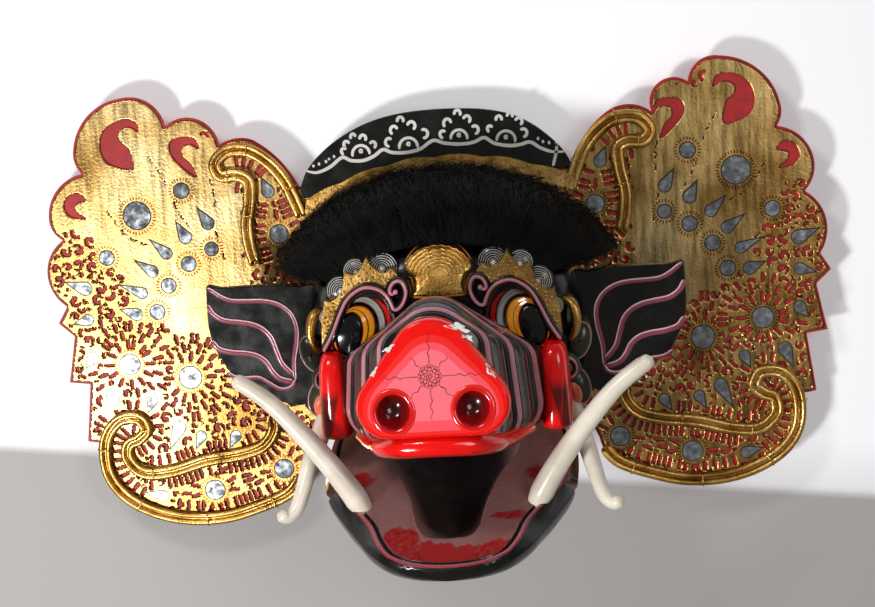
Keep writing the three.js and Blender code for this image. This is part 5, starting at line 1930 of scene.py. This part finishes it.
CROWN_FOOT, CROWN_THICKNESS = 24.3, 9.0
CROWN_TILT = math.radians(2.2)
CROWN_FACE = CROWN_FOOT + CROWN_THICKNESS
SCALLOPS = [(306, 171), (317, 172.5), (330, 167), (342, 157.5), (351, 160.5), (363, 160.5), (374, 156),
            (383, 149.5), (392, 152.5), (406, 152.5), (420, 149), (433, 140.5), (444, 143), (460, 144),
            (474, 142), (484, 137.5), (494, 143), (508, 145.5), (520, 144.5), (530, 142), (540, 147.5),
            (552, 151.5), (565, 151.5)]
FLOWERS = [(361, 151, 8.6, -8), (408.5, 144, 9.2, -4), (459, 135, 8.2, 0), (506, 137, 9.2, 4)]
PETALS = [[(344, 151, 5.5, -70), (346.5, 144, 5.5, -45), (363, 138.5, 6.5, 5), (353, 136.5, 5, -30),
           (373, 145, 6, 35)],
          [(389, 142, 7.5, -80), (394, 130, 7.5, -50), (400.5, 120.5, 6.5, -5), (411.5, 126, 8, 25),
           (424, 134, 8, 70)],
          [(443, 134, 6.5, -75), (447.5, 123, 8, -35), (457.5, 113.5, 6.5, 0), (467, 119.5, 7, 25),
           (475, 130, 7.5, 55)],
          [(490, 128.5, 5.5, -60), (499, 119, 6, -10), (510, 115.5, 5.5, 0), (519, 121.5, 7, 30),
           (523.5, 133, 7.5, 60)]]
CROWN_DOTS = [(313.5, 166, 2.6), (319, 164, 3.0), (326, 161.5, 3.0), (329, 159, 2.4), (334, 156.5, 3.0),
              (538, 138.5, 3.2), (543, 141.5, 3.0), (549, 142.5, 3.2), (556, 145, 3.0)]
CROWN_WEAR = [(556, 142), (556.5, 150), (555, 158), (553, 166)]


def tilted(points):
    points = np.array(points, dtype=float)
    c, s = math.cos(CROWN_TILT), math.sin(CROWN_TILT)
    x = points[:, 0] * c - points[:, 1] * s
    y = points[:, 0] * s + points[:, 1] * c
    points[:, 0], points[:, 1] = x, y
    return points


# Upper edge of the board, by pixels of the photograph from left to right
CROWN_EDGE = [(300, 189), (306, 172), (319, 155), (340, 137.5), (368, 122.5), (400, 113.5), (440, 109),
              (480, 109), (510, 114), (532, 124), (550, 137), (564, 151), (573, 166)]


def crown_outline():
    upper = smooth_path(lifted_line(CROWN_EDGE, CROWN_FACE), 160)[:, :2]
    foot = tilted([(x, y, 0) for x, y in arc((-119, 113), (0, 118), (119, 118), 40)])[:, :2]
    return np.concatenate([foot, upper[::-1]])


def make_crown():
    points, faces = slab(resampled(crown_outline(), 2.0), CROWN_FOOT, CROWN_FACE, 0.8)
    board = piece("crown_board_black", points, faces, LACQUER, slot="black_lacquer", colors=BLACK)
    board.data.set_sharp_from_angle(angle=math.radians(30))
    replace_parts(board, "crown_board")
    drawing = Bundle()

    def stroke(pixels, width, count=24):
        path = smooth_path(lifted_line(pixels, CROWN_FACE), count)
        path[:, 2] = CROWN_FACE + 0.18
        points, quads = ribbon(path, width * rounded_ends(count, 0.12, 0.35))
        drawing.add(points, quads=quads, color=np.array(WHITE) * (0.75 + 0.25 * rng.random()))

    stroke(SCALLOPS, 3.0, 220)
    for (x, y, radius, lean), petals in zip(FLOWERS, PETALS):
        turn = np.radians(np.linspace(170, 370, 16) + lean)
        stroke([(x + radius * math.cos(t), y + 3 + radius * math.sin(t)) for t in turn], 2.5, 40)
        turn = np.linspace(0, 2 * math.pi, 10)
        stroke([(x + 1.1 * math.cos(t), y + 1.1 * math.sin(t)) for t in turn], 2.4, 16)
        for px, py, size, tilt in petals:
            turn = np.radians(np.linspace(160, 400, 12) + tilt)
            reach = np.linspace(0.52, 0.40, 12) * size
            petal = [(px + r * math.cos(t), py + r * 1.15 * math.sin(t)) for r, t in zip(reach, turn)]
            stroke(petal, 2.7, 26)
    for x, y, size in CROWN_DOTS:
        stroke([(x - 0.3, y - size / 2), (x + 0.3, y + size / 2)], 2.1, 8)
    stroke(CROWN_WEAR, 2.6, 20)
    drawing.make("crown_drawing", LACQUER, slot="black_lacquer", smooth=False)


def make_fringe():
    foot = CROWN_FACE + 0.3
    lower = arc((-119, 101), (0, 122), (119, 101), 30) + [(119, 101)]
    outline = [(x, y + 2.2 * abs(math.sin(x * 0.075)))
               for x, y in arc((119, 109), (0, 138), (-119, 109), 120)]
    top_line = np.array(outline[::-1])
    relief = Bundle()
    for k in range(30):
        a, b = np.array(lower[k]), np.array(lower[k + 1])
        middle = (a + b) / 2 + np.array([0, -1.0])
        half = np.linalg.norm(b - a) / 2
        turn = np.linspace(math.pi, 2 * math.pi, 12)[:-1]
        outline += [(middle[0] + half * math.cos(t), middle[1] + 4.0 * math.sin(t)) for t in turn]
        room = np.interp(middle[0], top_line[:, 0], top_line[:, 1]) - middle[1] - 3
        for rise, size in ((4.0, 2.0), (9.5, 2.4), (15.0, 2.2)):
            if rise > room:
                continue
            centre = middle + np.array([0, rise])
            turn = np.linspace(0, 5.0, 16) + rng.random() * 6
            path = tilted(level(around(centre, size * (1 - turn / 14), turn), foot + 2.3))
            relief.add(*tube(path, 0.5, 0.6, 6), color=(1.0, 0.9, 0.7))
        relief.add(*stud(tilted([[middle[0], middle[1] - 1.5, foot + 2.0]])[0], 1.2, 1.4))
    points, faces = slab(tilted(resampled(outline, 1.0)), foot, foot + 2.0, 0.4)
    fringe = piece("crown_fringe_gilt", points, faces, GILT, slot="gilded_hide", smooth=False)
    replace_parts(fringe, "crown_fringe")
    relief.make("fringe_relief", LEAF, slot="gilded_hide")


def dress_pins():
    for side in ("left", "right"):
        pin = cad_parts[f"jaw_pin_{side}"]
        pin.data.materials.clear()
        pin.data.materials.append(BARE_WOOD)


make_camera()
make_studio()
make_wing("left", LEFT_LOBES, as_drawn, 0.0)
make_wing("right", RIGHT_LOBES, as_on_the_right, RIGHT_CURL_LEAN)
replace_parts(make_shell(), "head")
make_snout()
make_nose()
make_nostrils()
make_flower()
make_nose_glints()
make_lip()
make_flaps()
make_eyes()
make_brows()
make_spiral_lobes()
make_ornaments()
make_plaque()
make_horns()
make_cheeks()
make_jaw()
make_tusks()
make_ears()
make_mane()
make_crown()
make_fringe()
dress_pins()
